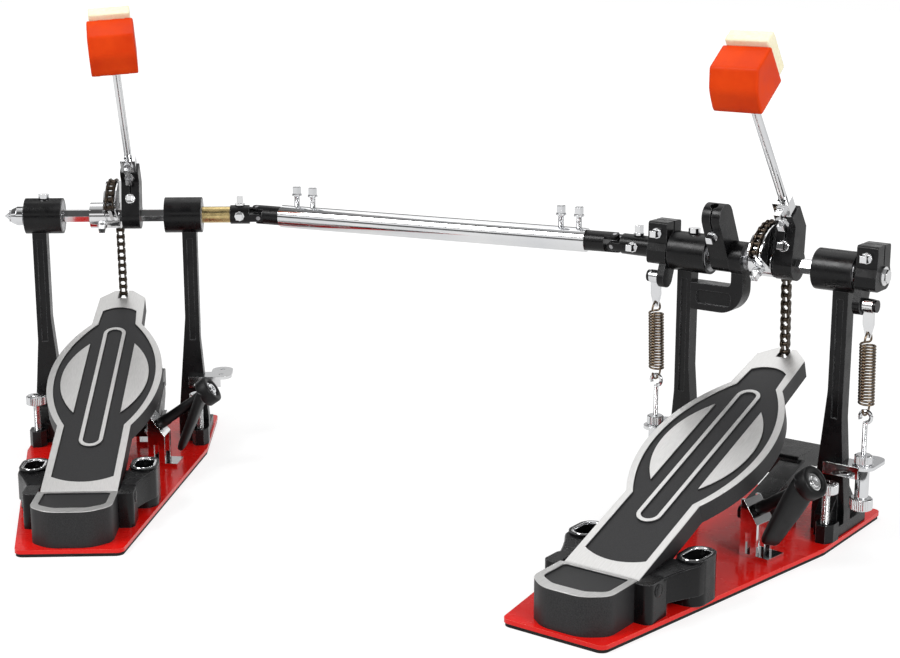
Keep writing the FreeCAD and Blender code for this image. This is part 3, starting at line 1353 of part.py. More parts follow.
def least_gap(arcs):
    """The least clear distance between turns of the wire, measured on points."""
    spots = []
    for arc in arcs:
        spots += arc.toShape().discretize(9)[:-1]
    apart = int(len(spots) / (len(arcs)) * 3)
    nearest = min((spots[low] - spots[high]).Length
                  for low in range(len(spots)) for high in range(low + apart,
                                                                 min(low + 5 * apart, len(spots))))
    return nearest - dim.wire


def spring_shape():
    """A close-wound extension spring with a half loop at each end, in the spring's frame."""
    arcs, swing = spring_arcs()
    path = Part.Wire([arc.toShape() for arc in arcs])
    section = wire_section(arcs[0], dim.wire / 2, WIRE_SIDES)
    print(f"spring: least gap between turns {least_gap(arcs):.2f} mm")
    return placed(path.makePipeShell([section], True, False), turned(Z_AXIS, 90 + swing))


def wire_section(arc, radius, sides):
    """A regular polygon square to the start of an arc."""
    ahead = arc.tangent(arc.FirstParameter)[0]
    frame = Placement(arc.StartPoint, Rotation(Z_AXIS, ahead))
    turns = [2 * math.pi * step / sides for step in range(sides)]
    corners = [frame.multVec(Vector(radius * math.cos(turn), radius * math.sin(turn), 0))
               for turn in turns]
    return Part.makePolygon(corners + corners[:1])


def make_springs():
    shape = spring_shape()
    for prefix, side in (("main_", 1), ("output_", -1)):
        lever = lever_body(prefix + "lever_right")
        place = moved(side * SPRING_X).multiply(SPRING)
        node(lever if side > 0 else mirrored(lever), prefix + "spring_lever")
        node(feature_of(prefix + "hanger", hanger_shape(), place), prefix + "spring_hanger")
        node(feature_of(prefix + "coil", shape, place), prefix + "spring")


def tensioner_shape():
    """Hooked rod with a lock nut on its bracket, and the sleeve and adjusting nut below."""
    radius, loop = dim.rod_wire / 2, dim.hook_radius
    bracket_top = dim.bracket_height + dim.bracket_thick
    tube = 0.8 * radius
    centre = dim.hook_z + dim.wire / 2 + dim.free_gap + tube - loop
    low, neck = dim.knurl_low + 2, centre - loop
    column = Part.makeCylinder(radius, neck - low, Vector(0, 0, low))
    spots = [Vector(loop * math.sin(turn), 0, centre - loop * math.cos(turn))
             for turn in (math.radians(75 * step) for step in range(5))]
    arcs = [Part.Arc(*spots[:3]), Part.Arc(*spots[2:])]
    path = Part.Wire([arc.toShape() for arc in arcs])
    bow = path.makePipeShell([wire_section(arcs[0], tube, WIRE_SIDES)], True, False)
    lock = prism(KNURL_SIDES, dim.lock_radius, bracket_top, bracket_top + dim.lock_height)
    sleeve = prism(KNURL_SIDES, dim.sleeve_radius, dim.knurl_low + dim.knurl_height, dim.bracket_height)
    nut = prism(KNURL_SIDES, dim.knurl_radius, dim.knurl_low, dim.knurl_low + dim.knurl_height)
    return column.multiFuse([bow, lock, sleeve, nut])


def spring_bracket_shape():
    """A pressed strip on a right post: a round-ended shelf for the tension rod and a lip on the post."""
    half, thick, level = dim.bracket_half, dim.bracket_thick, dim.bracket_height
    side = dim.post_half + dim.post_width / 2
    flare = (dim.foot_outer - side) / (dim.flare_top - dim.foot_height - value(FLOOR))
    start = side + flare * max(0, dim.flare_top - level) + dim.seat_gap
    lap = dim.post_half - dim.bracket_lap
    front, face = dim.hook_y - half, -dim.post_depth / 2 - dim.seat_gap
    spots = [Vector(SPRING_X, dim.hook_y, level), Vector(SPRING_X, dim.hook_y + dim.bracket_tail, level)]
    shelf = Part.makeBox(SPRING_X - start, 2 * half, thick, Vector(start, front, level))
    tail = Part.makeBox(2 * half, dim.bracket_tail, thick, Vector(SPRING_X - half, dim.hook_y, level))
    strap = Part.makeBox(start - lap, face - front, thick, Vector(lap, front, level))
    lip = Part.makeBox(SPRING_X - lap, thick, dim.bracket_lip,
                       Vector(lap, front, level + thick - dim.bracket_lip))
    ends = [Part.makeCylinder(half, thick, spot) for spot in spots]
    whole = shelf.multiFuse([tail, strap, lip] + ends)
    for spot in spots:
        whole = whole.cut(Part.makeCylinder(dim.rod_wire / 2 + dim.fit_gap, thick, spot))
    return whole.removeSplitter()


def flipped(shape):
    return shape.mirror(Vector(), X_AXIS)


def make_tensioners():
    rod = tensioner_shape()
    node(copies("tensioners", [placed(rod, moved(side * SPRING_X, dim.hook_y)) for side in (1, -1)]),
         "spring_tensioners")


# Spur screws

def spur_shape():
    """A pointed spur screw with a fluted head."""
    radius = dim.spur_thread / 2
    tip = value(FLOOR) + 0.2
    head_low = dim.spur_top - dim.spur_head_height
    shank = turned_shape([(0, tip), (radius, tip + radius), (radius, head_low), (0, head_low)])
    return shank.fuse(prism(KNURL_SIDES, dim.spur_head, head_low, dim.spur_top))


def make_spurs():
    shape = spur_shape()
    shapes = [placed(shape, pedal.multiply(moved(side * dim.spur_x, dim.spur_y)))
              for pedal in (MAIN, SLAVE) for side in (-1, 1)]
    node(copies("spurs", shapes), "spur_screws")


# Hoop clamps: a rocking jaw, its bracket and a bolt with a paddle handle

def jaw_body(name, pedal):
    body = new_body(name, pedal)
    bar = new_sketch(body, "YZ_Plane", "-jaw_half")
    step, count = dim.jaw_pitch, 4
    teeth = []
    for index in range(count):
        place = dim.jaw_front - step * index
        teeth += [(place, dim.jaw_low), (place - step / 2, dim.jaw_low + dim.jaw_tooth)]
    draw(bar, outline(teeth + [(dim.jaw_front - count * step, dim.jaw_low),
                               (dim.jaw_front - 2 * count * step, dim.jaw_low + 2 * dim.jaw_tooth),
                               (dim.jaw_back, dim.jaw_low), (dim.jaw_back, dim.jaw_top, 3),
                               (dim.jaw_front, dim.jaw_top, 3)]))
    pad(body, bar, "2 * jaw_half")
    arm = new_sketch(body, "YZ_Plane", "rocker_left")
    pin_y, pin_z, radius = dim.rocker_pin_y, dim.rocker_pin_z, dim.rocker_pin
    draw(arm, outline([(dim.jaw_back + radius, dim.jaw_low + 2),
                       (dim.jaw_back + radius, dim.jaw_top - 2, 2),
                       (pin_y, pin_z + 3 * radius, 2 * radius), (-dim.rocker_reach, pin_z + radius, 3),
                       (-dim.rocker_reach, pin_z - radius / 3, 3), (pin_y - radius, pin_z - radius, 4),
                       (pin_y + radius, pin_z - radius, 4)]))
    pad(body, arm, "rocker_right - rocker_left")
    hole = new_sketch(body, "YZ_Plane", "rocker_right")
    draw_circle(hole, "rocker_pin_y", "rocker_pin_z", "rocker_pin / 2 + fit_gap")
    pocket(body, hole, "rocker_right - rocker_left")
    return body


GRIP_FOOT = turned(Z_AXIS, dim.grip_yaw, Vector(dim.grip_x, dim.grip_y, 0))

GRIP = GRIP_FOOT.multiply(turned(Y_AXIS, 90 - dim.grip_rise, Vector(0, 0, dim.grip_z)))


def clamp_bracket_shapes():
    """Bright pieces on the base plate: the rocker's pedestal with its pin, and the bolt's channel."""
    floor, cheek, half = value(FLOOR), dim.cheek_thick, dim.cheek_half
    left = dim.rocker_left - dim.free_gap - cheek
    width = dim.rocker_right - dim.rocker_left + 2 * (dim.free_gap + cheek)
    back = dim.rocker_pin_y - half
    height = dim.rocker_pin_z + dim.rocker_pin - floor
    cheeks = [Part.makeBox(cheek, 2 * half, height, Vector(x, back, floor))
              for x in (left, left + width - cheek)]
    sole = Part.makeBox(width, 2 * half, cheek, Vector(left, back, floor))
    pin = rod_shape(Vector(left - 1, dim.rocker_pin_y, dim.rocker_pin_z), X_AXIS, dim.rocker_pin / 2,
                    width + 2)
    return [cheeks[0].multiFuse([cheeks[1], sole, pin]).removeSplitter(), grip_bracket()]


def grip_bracket():
    """A folded channel on the base plate: a sloped face square to the bolt between two legged side walls."""
    floor, wall, half = value(FLOOR), dim.grip_wall, dim.grip_half
    slope = Rotation(Y_AXIS, 90 - dim.grip_rise)
    high = slope.multVec(Vector(-half, 0, 0)) + Z_AXIS * dim.grip_z
    low = slope.multVec(Vector(half, 0, 0)) + Z_AXIS * dim.grip_z
    back = high.x - wall
    profile = [high, low, Vector(low.x, 0, floor), Vector(back, 0, floor), Vector(back, 0, high.z)]
    side = Part.Face(Part.makePolygon(profile + profile[:1])).extrude(Y_AXIS * wall)
    walls = [side.translated(Y_AXIS * y) for y in (-half, half - wall)]
    face = placed(Part.makeBox(2 * half, 2 * half, wall, Vector(-half, -half, -wall)),
                  Placement(Z_AXIS * dim.grip_z, slope))
    sole = Part.makeBox(low.x - back + half, 2 * half, wall, Vector(back, -half, floor))
    channel = walls[0].multiFuse([walls[1], face, sole])
    arch = Part.makeBox(low.x - back - 4 * wall, 4 * half, dim.grip_arch - wall,
                        Vector(back + 2 * wall, -2 * half, floor + wall))
    thread = rod_shape(Vector(0, 0, -2 * wall), Z_AXIS, dim.grip_bolt / 2 + dim.fit_gap, 4 * wall)
    channel = channel.cut(arch).cut(placed(thread, Placement(Z_AXIS * dim.grip_z, slope)))
    return placed(channel.removeSplitter(), GRIP_FOOT)


def handle_shape():
    """Bolt and handle along Z from the bracket: a sleeve, a round eye and a paddle folded back."""
    length, thick, stem = dim.grip_length, dim.paddle_thick, dim.grip_stem / 2
    bolt = turned_shape([(0, -dim.grip_tail), (dim.grip_bolt / 2, -dim.grip_tail),
                         (dim.grip_bolt / 2, dim.free_gap),
                         (stem, dim.free_gap), (stem, length), (0, length)])
    eye = Part.makeCylinder(dim.eye_radius, 1.5 * thick, Vector(0, 0, length - 0.75 * thick))
    sink = Part.makeCylinder(0.62 * dim.eye_radius, dim.eye_sink,
                             Vector(0, 0, length + 0.75 * thick - dim.eye_sink))
    waist, half, reach = dim.paddle_waist / 2, dim.paddle_width / 2, dim.paddle_length
    corners = [(0, waist), (0.3 * reach, waist), (0.65 * reach, half), (reach - half / 2, half),
               (reach, half / 2)]
    plan = [Vector(x, -y, 0) for x, y in corners] + [Vector(x, y, 0) for x, y in reversed(corners)]
    paddle = Part.Face(Part.makePolygon(plan + plan[:1])).extrude(Z_AXIS * -thick)
    paddle = placed(paddle, Placement(Z_AXIS * length, Rotation(Y_AXIS, 90 - dim.paddle_fold)))
    return bolt.multiFuse([eye.cut(sink), paddle]).removeSplitter()


def clamp_nodes():
    handle = handle_shape()
    for prefix, pedal, turn in (("main_", MAIN, dim.main_handle), ("slave_", SLAVE, dim.slave_handle)):
        node(jaw_body(prefix + "jaw", pedal), prefix + "clamp_jaw")
        place = pedal.multiply(GRIP).multiply(turned(Z_AXIS, turn))
        node(feature_of(prefix + "bolt", handle, place), prefix + "clamp_bolt")


def make_brackets():
    strip = spring_bracket_shape()
    shapes = [strip, flipped(strip), placed(strip, SLAVE)]
    for pedal in (MAIN, SLAVE):
        shapes += [placed(shape, pedal) for shape in clamp_bracket_shapes()]
    node(copies("brackets", shapes), "frame_brackets")


# Fasteners that stay with the frame

def make_fasteners():
    """Hinge pins, the screws in the oval recesses and the plugs on the housings."""
    pin = cross_rod(Vector(0, -dim.hinge_reach, dim.hinge_height), dim.hinge_pin / 2,
                    dim.wing_waist - dim.fit_gap)
    screw = Part.makeCylinder(0.8 * dim.oval_width / 2, 3)
    plug = Part.makeCylinder(dim.plug_radius, dim.plug_height)
    middle = (dim.housing_inner + dim.housing_outer) / 2
    shapes = []
    for pedal, train in ((MAIN, TRAIN), (SLAVE, SLAVE)):
        shapes.append(placed(pin, train))
        for side in (-1, 1):
            seat = moved(side * dim.oval_x, -value(OVAL_REACH), dim.wing_top - dim.oval_depth)
            shapes.append(placed(screw, train.multiply(seat)))
        plug_seat = dim.axle_height + dim.housing_radius + dim.seat_gap
        shapes.append(placed(plug, pedal.multiply(moved(-middle, 0, plug_seat))))
    node(copies("fasteners", shapes), "frame_fasteners")


# Universal joints and drive shaft

CROSS_LEFT = SLAVE.multVec(Vector(value(SLAVE_CROSS), 0, dim.axle_height))

CROSS_RIGHT = Vector(value(OUTPUT_CROSS), 0, dim.axle_height)

SHAFT_LENGTH = (CROSS_RIGHT - CROSS_LEFT).Length

SHAFT_YAW = math.degrees(math.atan2(CROSS_RIGHT.y - CROSS_LEFT.y, CROSS_RIGHT.x - CROSS_LEFT.x))

SHAFT = turned(Z_AXIS, SHAFT_YAW, CROSS_LEFT)


def joint_turns():
    """How far each shaft is turned at rest from mid-stroke, where the axle yokes' pins lie level."""
    axle = math.radians(dim.half_swing)
    left = math.radians(dim.slave_yaw - SHAFT_YAW)
    right = math.radians(SHAFT_YAW)
    shaft = math.atan(math.tan(axle) / math.cos(left))
    output = math.atan(math.tan(shaft) * math.cos(right))
    return SimpleNamespace(slave=math.degrees(axle), shaft=math.degrees(shaft),
                           output=math.degrees(output))


TURNS = joint_turns()


def yoke_shape(base, bore, stub):
    """A fork open towards +X with its pins along Y; the cross is at the origin, the base on the -X side."""
    radius, throat, half = dim.yoke_radius, dim.yoke_throat, dim.arm_half
    shank = rod_shape(Vector(-throat - base, 0, 0), X_AXIS, radius, base)
    arms = rod_shape(Vector(-throat, 0, 0), X_AXIS, radius, throat + half)
    straight = Part.makeBox(throat, 4 * radius, 2 * half, Vector(-throat, -2 * radius, -half))
    rounded = rod_shape(Vector(0, -2 * radius, 0), Y_AXIS, half, 4 * radius)
    mouth = Part.makeBox(4 * radius, 2 * dim.yoke_bore, 4 * radius,
                         Vector(-throat, -dim.yoke_bore, -2 * radius))
    pin = rod_shape(Vector(0, -2 * radius, 0), Y_AXIS, dim.cross_pin / 2 + 2 * dim.fit_gap, 4 * radius)
    body = shank.fuse(arms.common(straight.fuse(rounded)).cut(mouth).cut(pin))
    if bore:
        body = body.cut(rod_shape(Vector(-throat - base, 0, 0), X_AXIS, bore, base - 2))
    if stub:
        inside = dim.tube_radius - dim.tube_wall - dim.fit_gap
        body = body.fuse(rod_shape(Vector(-throat - base - stub, 0, 0), X_AXIS, inside, stub))
    return body.removeSplitter()


def cross_shape(first, second):
    """The cross between two forks, from their pin directions."""
    half = dim.yoke_bore - dim.free_gap / 2
    reach = dim.yoke_radius - dim.free_gap
    depth = 0.9 * dim.arm_half
    third = first.cross(second)
    frame = Placement(FreeCAD.Matrix(first.x, second.x, third.x, 0, first.y, second.y, third.y, 0,
                                     first.z, second.z, third.z, 0, 0, 0, 0, 1))
    block = Part.makeBox(2 * half, 2 * half, 2 * depth, Vector(-half, -half, -depth))
    pins = [rod_shape(axis * -reach, axis, dim.cross_pin / 2, 2 * reach) for axis in (X_AXIS, Y_AXIS)]
    return placed(block.multiFuse(pins).removeSplitter(), frame)


def tube_shape():
    radius = dim.tube_radius
    start = dim.yoke_throat + dim.shaft_yoke_base
    length = SHAFT_LENGTH - 2 * start
    ring = rod_shape(Vector(start, 0, 0), X_AXIS, radius, length)
    return ring.cut(rod_shape(Vector(start, 0, 0), X_AXIS, radius - dim.tube_wall, length)), start, length


def make_shaft():
    half_turn = Placement(Vector(), Rotation(Z_AXIS, 180))
    slave_place = SLAVE.multiply(moved(value(SLAVE_CROSS), 0, dim.axle_height))
    slave_frame = slave_place.multiply(turned(X_AXIS, TURNS.slave))
    output_frame = Placement(CROSS_RIGHT, Rotation()).multiply(turned(X_AXIS, TURNS.output))
    shaft_pins = turned(X_AXIS, TURNS.shaft + 90)
    bore = dim.journal / 2 + dim.fit_gap
    node(feature_of("slave_fork", yoke_shape(dim.slave_yoke_base, bore, 0), slave_frame),
         "slave_axle_yoke")
    node(feature_of("output_fork", yoke_shape(dim.output_yoke_base, bore, 0),
                    output_frame.multiply(half_turn)),
         "output_axle_yoke")
    fork = yoke_shape(dim.shaft_yoke_base, 0, dim.shaft_stub)
    ends = [SHAFT.multiply(shaft_pins).multiply(half_turn),
            SHAFT.multiply(moved(SHAFT_LENGTH)).multiply(shaft_pins)]
    node(copies("shaft_forks", [placed(fork, end) for end in ends]), "shaft_yokes")
    shaft_axis = SHAFT.Rotation.multVec(shaft_pins.Rotation.multVec(Y_AXIS))
    for label, frame, centre in (("left_cross", slave_frame, CROSS_LEFT),
                                 ("right_cross", output_frame, CROSS_RIGHT)):
        axle_axis = frame.Rotation.multVec(Y_AXIS)
        node(feature_of(label, cross_shape(axle_axis, shaft_axis), Placement(centre, Rotation())), label)
    tube, start, length = tube_shape()
    node(feature_of("tube", tube, SHAFT), "drive_tube")
    screw = key_screw(dim.screw_stand - dim.seat_gap)
    finish = start + length
    start += dim.screw_shift
    seats = [start + dim.screw_first, start + dim.screw_second, finish - dim.screw_second,
             finish - dim.screw_first]
    rise = dim.tube_radius + dim.screw_stand
    node(copies("tube_screws", [placed(screw, SHAFT.multiply(moved(x, 0, rise))) for x in seats]),
         "drive_tube_screws")
    spacer = new_body("spacer", SLAVE.multiply(AXLE))
    ring = new_sketch(spacer, "YZ_Plane", "housing_outer + free_gap")
    draw_circle(ring, "0", "0", "spacer_radius")
    draw_circle(ring, "0", "0", "journal / 2 + fit_gap")
    pad(spacer, ring, "slave_reach - yoke_throat - slave_yoke_base - 2 * free_gap")
    node(spacer, "slave_spacer")


def make_second_hub():
    """The second beater's hub: upright, round at the top, with an empty socket."""
    body = new_body("second", leaned(MAIN, "second_lean"))
    radius, top = dim.hub_radius, dim.second_height
    half = 0.9 * radius
    rise = math.sqrt(radius ** 2 - half ** 2)
    left, right = Vector(-half, rise, 0), Vector(half, rise, 0)
    high_left, high_right = Vector(-half, top - half, 0), Vector(half, top - half, 0)
    side = new_sketch(body, "YZ_Plane", "second_left")
    draw(side, [Part.Arc(left, Vector(0, -radius, 0), right), Part.LineSegment(right, high_right),
                Part.Arc(high_right, Vector(0, top, 0), high_left), Part.LineSegment(high_left, left)])
    pad(body, side, "second_width")
    axle_hexagon(body, "second_left", "second_width", "second_lean")
    rod_socket(body, "second_left", "second_width", "0", "(second_height - socket_depth)",
               "second_height", SECOND_KEY)
    node(body, "second_beater_hub")


def check_document():
    """Stops at any object that failed or any sub-part without a sound shape."""
    doc.recompute()
    for item in doc.Objects:
        if "Invalid" in item.State or "Error" in item.State:
            raise RuntimeError(f"{item.Name} failed: {item.State}")
    for item in NODES:
        if item.Shape.isNull() or not item.Shape.isValid() or not item.Shape.Solids:
            raise RuntimeError(f"{item.Label} has no sound shape")


def main():
    make_plates()
    node(group("heels", [heel_body("main_heel", TRAIN), heel_body("slave_heel", SLAVE)]), "heel_plates")
    node(group("hinges", [hinge_block("main_wing", TRAIN), hinge_block("slave_wing", SLAVE)]),
         "hinge_blocks")
    make_posts()
    make_outrigger()
    make_bearings()
    make_axles()
    for prefix, pedal, lean, twist, left in (("main_", TRAIN, "main_lean", 0, "boss_left"),
                                             ("slave_", SLAVE, "slave_lean", dim.slave_twist,
                                              "slave_boss_left")):
        node(board_body(prefix + "board", pedal), prefix + "footboard")
        node(sprocket_body(prefix + "wheel", pedal, left), prefix + "sprocket")
        chain_nodes(prefix, pedal)
        beater_nodes(prefix, pedal, lean, twist)
    make_second_hub()
    screw_nodes()
    make_springs()
    make_tensioners()
    make_spurs()
    clamp_nodes()
    make_brackets()
    make_fasteners()
    make_shaft()
    check_document()
    os.makedirs("parts", exist_ok=True)
    for item in NODES:
        item.Shape.exportStep(f"parts/{item.Label}.step")
    print(len(NODES), "nodes")


main()
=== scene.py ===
import json
import math
import bmesh
import bpy
from mathutils import Matrix, Vector, noise


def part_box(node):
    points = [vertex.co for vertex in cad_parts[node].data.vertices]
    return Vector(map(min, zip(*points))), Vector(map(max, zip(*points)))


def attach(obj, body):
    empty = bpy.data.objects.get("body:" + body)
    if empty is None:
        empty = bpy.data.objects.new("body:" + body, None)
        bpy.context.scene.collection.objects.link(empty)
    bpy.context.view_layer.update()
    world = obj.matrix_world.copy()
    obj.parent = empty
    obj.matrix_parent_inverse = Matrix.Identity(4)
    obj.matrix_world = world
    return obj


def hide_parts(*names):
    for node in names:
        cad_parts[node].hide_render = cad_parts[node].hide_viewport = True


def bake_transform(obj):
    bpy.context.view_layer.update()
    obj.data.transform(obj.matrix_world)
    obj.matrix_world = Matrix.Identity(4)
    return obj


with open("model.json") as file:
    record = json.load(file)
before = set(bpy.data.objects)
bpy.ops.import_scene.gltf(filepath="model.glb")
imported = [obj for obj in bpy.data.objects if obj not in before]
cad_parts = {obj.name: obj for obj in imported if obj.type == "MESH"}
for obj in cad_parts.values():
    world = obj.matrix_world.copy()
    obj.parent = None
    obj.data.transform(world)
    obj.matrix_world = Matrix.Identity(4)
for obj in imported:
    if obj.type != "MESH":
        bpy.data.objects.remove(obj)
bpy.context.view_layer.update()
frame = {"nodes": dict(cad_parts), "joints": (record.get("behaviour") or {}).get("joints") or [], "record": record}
NODES = frame["nodes"]
JOINTS = {joint["name"]: joint for joint in frame["joints"]}
MM = 0.001

# Camera of the photograph, in metres and degrees
CAMERA_PLACE = Vector((0.5539, -1.1390, 0.4454))
CAMERA_HEADING = Vector((-0.593, 0.805, 0.0))
CAMERA_PITCH = -13.12
CAMERA_LENS = 69.1
CAMERA_SENSOR = 36.0
CAMERA_SHIFT = (-0.0021, -0.0093)


def make_camera():
    data = bpy.data.cameras.new("camera")
    data.lens = CAMERA_LENS
    data.sensor_width = CAMERA_SENSOR
    data.shift_x, data.shift_y = CAMERA_SHIFT
    camera = bpy.data.objects.new("camera", data)
    bpy.context.collection.objects.link(camera)
    pitch = math.radians(CAMERA_PITCH)
    look = CAMERA_HEADING.normalized() * math.cos(pitch) + Vector((0, 0, math.sin(pitch)))
    camera.location = CAMERA_PLACE
    camera.rotation_euler = look.to_track_quat("-Z", "Y").to_euler()
    bpy.context.scene.camera = camera


# Places of the two pedals, read from their joints

def yaw_of(joint):
    """The turn about Z that lays X against a joint's axis."""
    return math.atan2(-joint["axis"][1], -joint["axis"][0])


def pedal_place(joint):
    """The frame of a pedal: on the floor under its axle, X along the axle."""
    spot = joint["pos_m"]
    return Matrix.Translation((spot[0], spot[1], 0)) @ Matrix.Rotation(yaw_of(joint), 4, "Z")


def middle_of(node):
    low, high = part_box(node)
    return (Vector(low) + Vector(high)) / 2


MAIN = pedal_place(JOINTS["main_axle_turn"])
SLAVE = pedal_place(JOINTS["slave_axle_turn"])
PEDALS = {"main": MAIN, "slave": SLAVE}
AXLE_HEIGHT = JOINTS["main_axle_turn"]["pos_m"][2]
# Chain, footboard and beater stand beside the middle of the main pedal's axle
TRAINS = {"main": MAIN @ Matrix.Translation((middle_of("main_chain_run").x, 0, 0)), "slave": SLAVE}


# Mesh helpers: each gives vertices and faces

def combined(shapes):
    """Several shapes as one."""
    spots, faces = [], []
    for more_spots, more_faces in shapes:
        first = len(spots)
        spots += more_spots
        faces += [[first + index for index in face] for face in more_faces]
    return spots, faces


def placed(shape, place):
    return [place @ Vector(spot) for spot in shape[0]], shape[1]


def skinned(rings, capped=True):
    """A skin over rings of equally many points."""
    count = len(rings[0])
    spots = [spot for ring in rings for spot in ring]
    faces = []
    for row in range(len(rings) - 1):
        for step in range(count):
            following = (step + 1) % count
            low, high = row * count, (row + 1) * count
            faces.append([low + step, low + following, high + following, high + step])
    if capped:
        faces.append(list(range(count))[::-1])
        faces.append([len(spots) - count + step for step in range(count)])
    return spots, faces


def revolved(profile, segments=32):
    """Rings about Z from (radius, height); a radius may be a function of the angle."""
    rings = []
    for radius, height in profile:
        ring = []
        for step in range(segments):
            angle = 2 * math.pi * step / segments
            reach = radius(angle) if callable(radius) else radius
            ring.append(Vector((reach * math.cos(angle), reach * math.sin(angle), height)))
        rings.append(ring)
    return skinned(rings)


def tube(path, radius, sides=10):
    """A round tube along a path of points."""
    rings = []
    across = None
    for index, spot in enumerate(path):
        ahead = (path[min(index + 1, len(path) - 1)] - path[max(index - 1, 0)]).normalized()
        if across is None:
            across = ahead.orthogonal().normalized()
        across = (across - ahead * across.dot(ahead)).normalized()
        other = ahead.cross(across)
        turns = [2 * math.pi * step / sides for step in range(sides)]
        rings.append([spot + (across * math.cos(turn) + other * math.sin(turn)) * radius
                      for turn in turns])
    return skinned(rings)


def hexagonal(flats):
    """The radius of a hexagon by angle."""
    return lambda angle: flats / 2 / math.cos(angle % (math.pi / 3) - math.pi / 6)


def wave(share):
    """A triangle wave between 0 and 1."""
    return abs(2 * (share % 1) - 1)


def fluted(radius, depth, flutes):
    """The radius of a knurled nut by angle."""
    return lambda angle: radius - depth * wave(angle * flutes / 2 / math.pi)


THREAD_PITCH = 1.0 * MM
THREAD_DEPTH = 0.4 * MM
THREAD_ROWS = 5
KNURL_DEPTH = 0.5 * MM
KNURL_EASE = 0.8 * MM


def thread_radius(radius, turn):
    """The radius of a screw thread by angle, at a height given in turns."""
    return lambda angle: radius - THREAD_DEPTH * wave(turn - angle / 2 / math.pi)


def thread_shape(radius, low, high):
    """A screw thread about Z."""
    rows = max(2, int((high - low) / THREAD_PITCH * THREAD_ROWS))
    heights = [low + (high - low) * row / rows for row in range(rows + 1)]
    return revolved([(thread_radius(radius, height / THREAD_PITCH), height) for height in heights], 20)


def knurl_shape(radius, low, high, flutes=36):
    """A knurled nut or head about Z with chamfered ends."""
    rim, end = fluted(radius, KNURL_DEPTH, flutes), radius - 1.5 * KNURL_EASE
    return revolved([(end, low), (rim, low + KNURL_EASE), (rim, high - KNURL_EASE), (end, high)],
                    4 * flutes)


def socket_screw(radius, low, high, flats):
    """A screw head about Z with a hexagonal socket."""
    ease = 0.15 * radius
    inner = hexagonal(flats)
    depth = 0.7 * (high - low)
    return revolved([(radius, low), (radius, high - ease), (radius - ease, high), (inner, high),
                     (inner, high - depth)], 36)


def add_piece(name, shape, material, body, sharp=35):
    """A new piece of the scene that rides on a body."""
    mesh = bpy.data.meshes.new(name)
    mesh.from_pydata(shape[0], [], shape[1])
    for polygon in mesh.polygons:
        polygon.use_smooth = True
    mesh.set_sharp_from_angle(angle=math.radians(sharp))
    mesh.materials.append(material)
    piece = bpy.data.objects.new(name, mesh)
    bpy.context.collection.objects.link(piece)
    if body:
        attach(piece, body)
    return piece


# Shader helpers

def new_material(name, colour, metallic, roughness):
    material = bpy.data.materials.new(name)
    material.use_nodes = True
    shader = material.node_tree.nodes["Principled BSDF"]
    shader.inputs["Base Color"].default_value = (*colour, 1)
    shader.inputs["Metallic"].default_value = metallic
    shader.inputs["Roughness"].default_value = roughness
    return material, material.node_tree, shader


def point(tree):
    return tree.nodes.new("ShaderNodeTexCoord").outputs["Object"]


def noise_of(tree, scale, detail=3.0, stretch=None):
    """A noise over the object, drawn out where stretch gives a turn and a scale."""
    texture = tree.nodes.new("ShaderNodeTexNoise")
    texture.inputs["Scale"].default_value = scale
    texture.inputs["Detail"].default_value = detail
    source = point(tree)
    if stretch:
        mapping = tree.nodes.new("ShaderNodeMapping")
        mapping.vector_type = "TEXTURE"
        mapping.inputs["Rotation"].default_value = stretch[0]
        mapping.inputs["Scale"].default_value = stretch[1]
        tree.links.new(source, mapping.inputs["Vector"])
        source = mapping.outputs["Vector"]
    tree.links.new(source, texture.inputs["Vector"])
    return texture.outputs["Fac"]


def between(tree, factor, low, high, start=0.3, finish=0.7):
    """Maps a factor onto a range of numbers."""
    ramp = tree.nodes.new("ShaderNodeMapRange")
    for name, number in (("From Min", start), ("From Max", finish), ("To Min", low), ("To Max", high)):
        ramp.inputs[name].default_value = number
    tree.links.new(factor, ramp.inputs["Value"])
    return ramp.outputs["Result"]


def feed(tree, socket, source):
    """Gives a socket a number, a colour or another socket's output."""
    if isinstance(source, tuple):
        socket.default_value = (*source, 1)
    elif isinstance(source, (int, float)):
        socket.default_value = source
    else:
        tree.links.new(source, socket)


def maths(tree, operation, first, second):
    step = tree.nodes.new("ShaderNodeMath")
    step.operation = operation
    feed(tree, step.inputs[0], first)
    feed(tree, step.inputs[1], second)
    return step.outputs["Value"]


def mixed_number(tree, factor, first, second):
    """Goes from the first number or socket to the second."""
    mix = tree.nodes.new("ShaderNodeMix")
    tree.links.new(factor, mix.inputs["Factor"])
    feed(tree, mix.inputs["A"], first)
    feed(tree, mix.inputs["B"], second)
    return mix.outputs["Result"]


def mixed_colour(tree, factor, first, second):
    """Goes from the first colour or socket to the second."""
    mix = tree.nodes.new("ShaderNodeMix")
    mix.data_type = "RGBA"
    tree.links.new(factor, mix.inputs["Factor"])
    feed(tree, mix.inputs["A"], first)
    feed(tree, mix.inputs["B"], second)
    return mix.outputs["Result"]


def uneven(tree, scale, detail, low, high):
    """A number that drifts over the surface."""
    return between(tree, noise_of(tree, scale, detail), low, high)


def mottled(tree, scale, detail, dark, light):
    """A colour that drifts over the surface."""
    return mixed_colour(tree, uneven(tree, scale, detail, 0, 1), dark, light)


def soft_edges(tree, radius):
    """A normal that rounds sharp edges."""
    bevel = tree.nodes.new("ShaderNodeBevel")
    bevel.samples = 4
    bevel.inputs["Radius"].default_value = radius
    return bevel.outputs["Normal"]


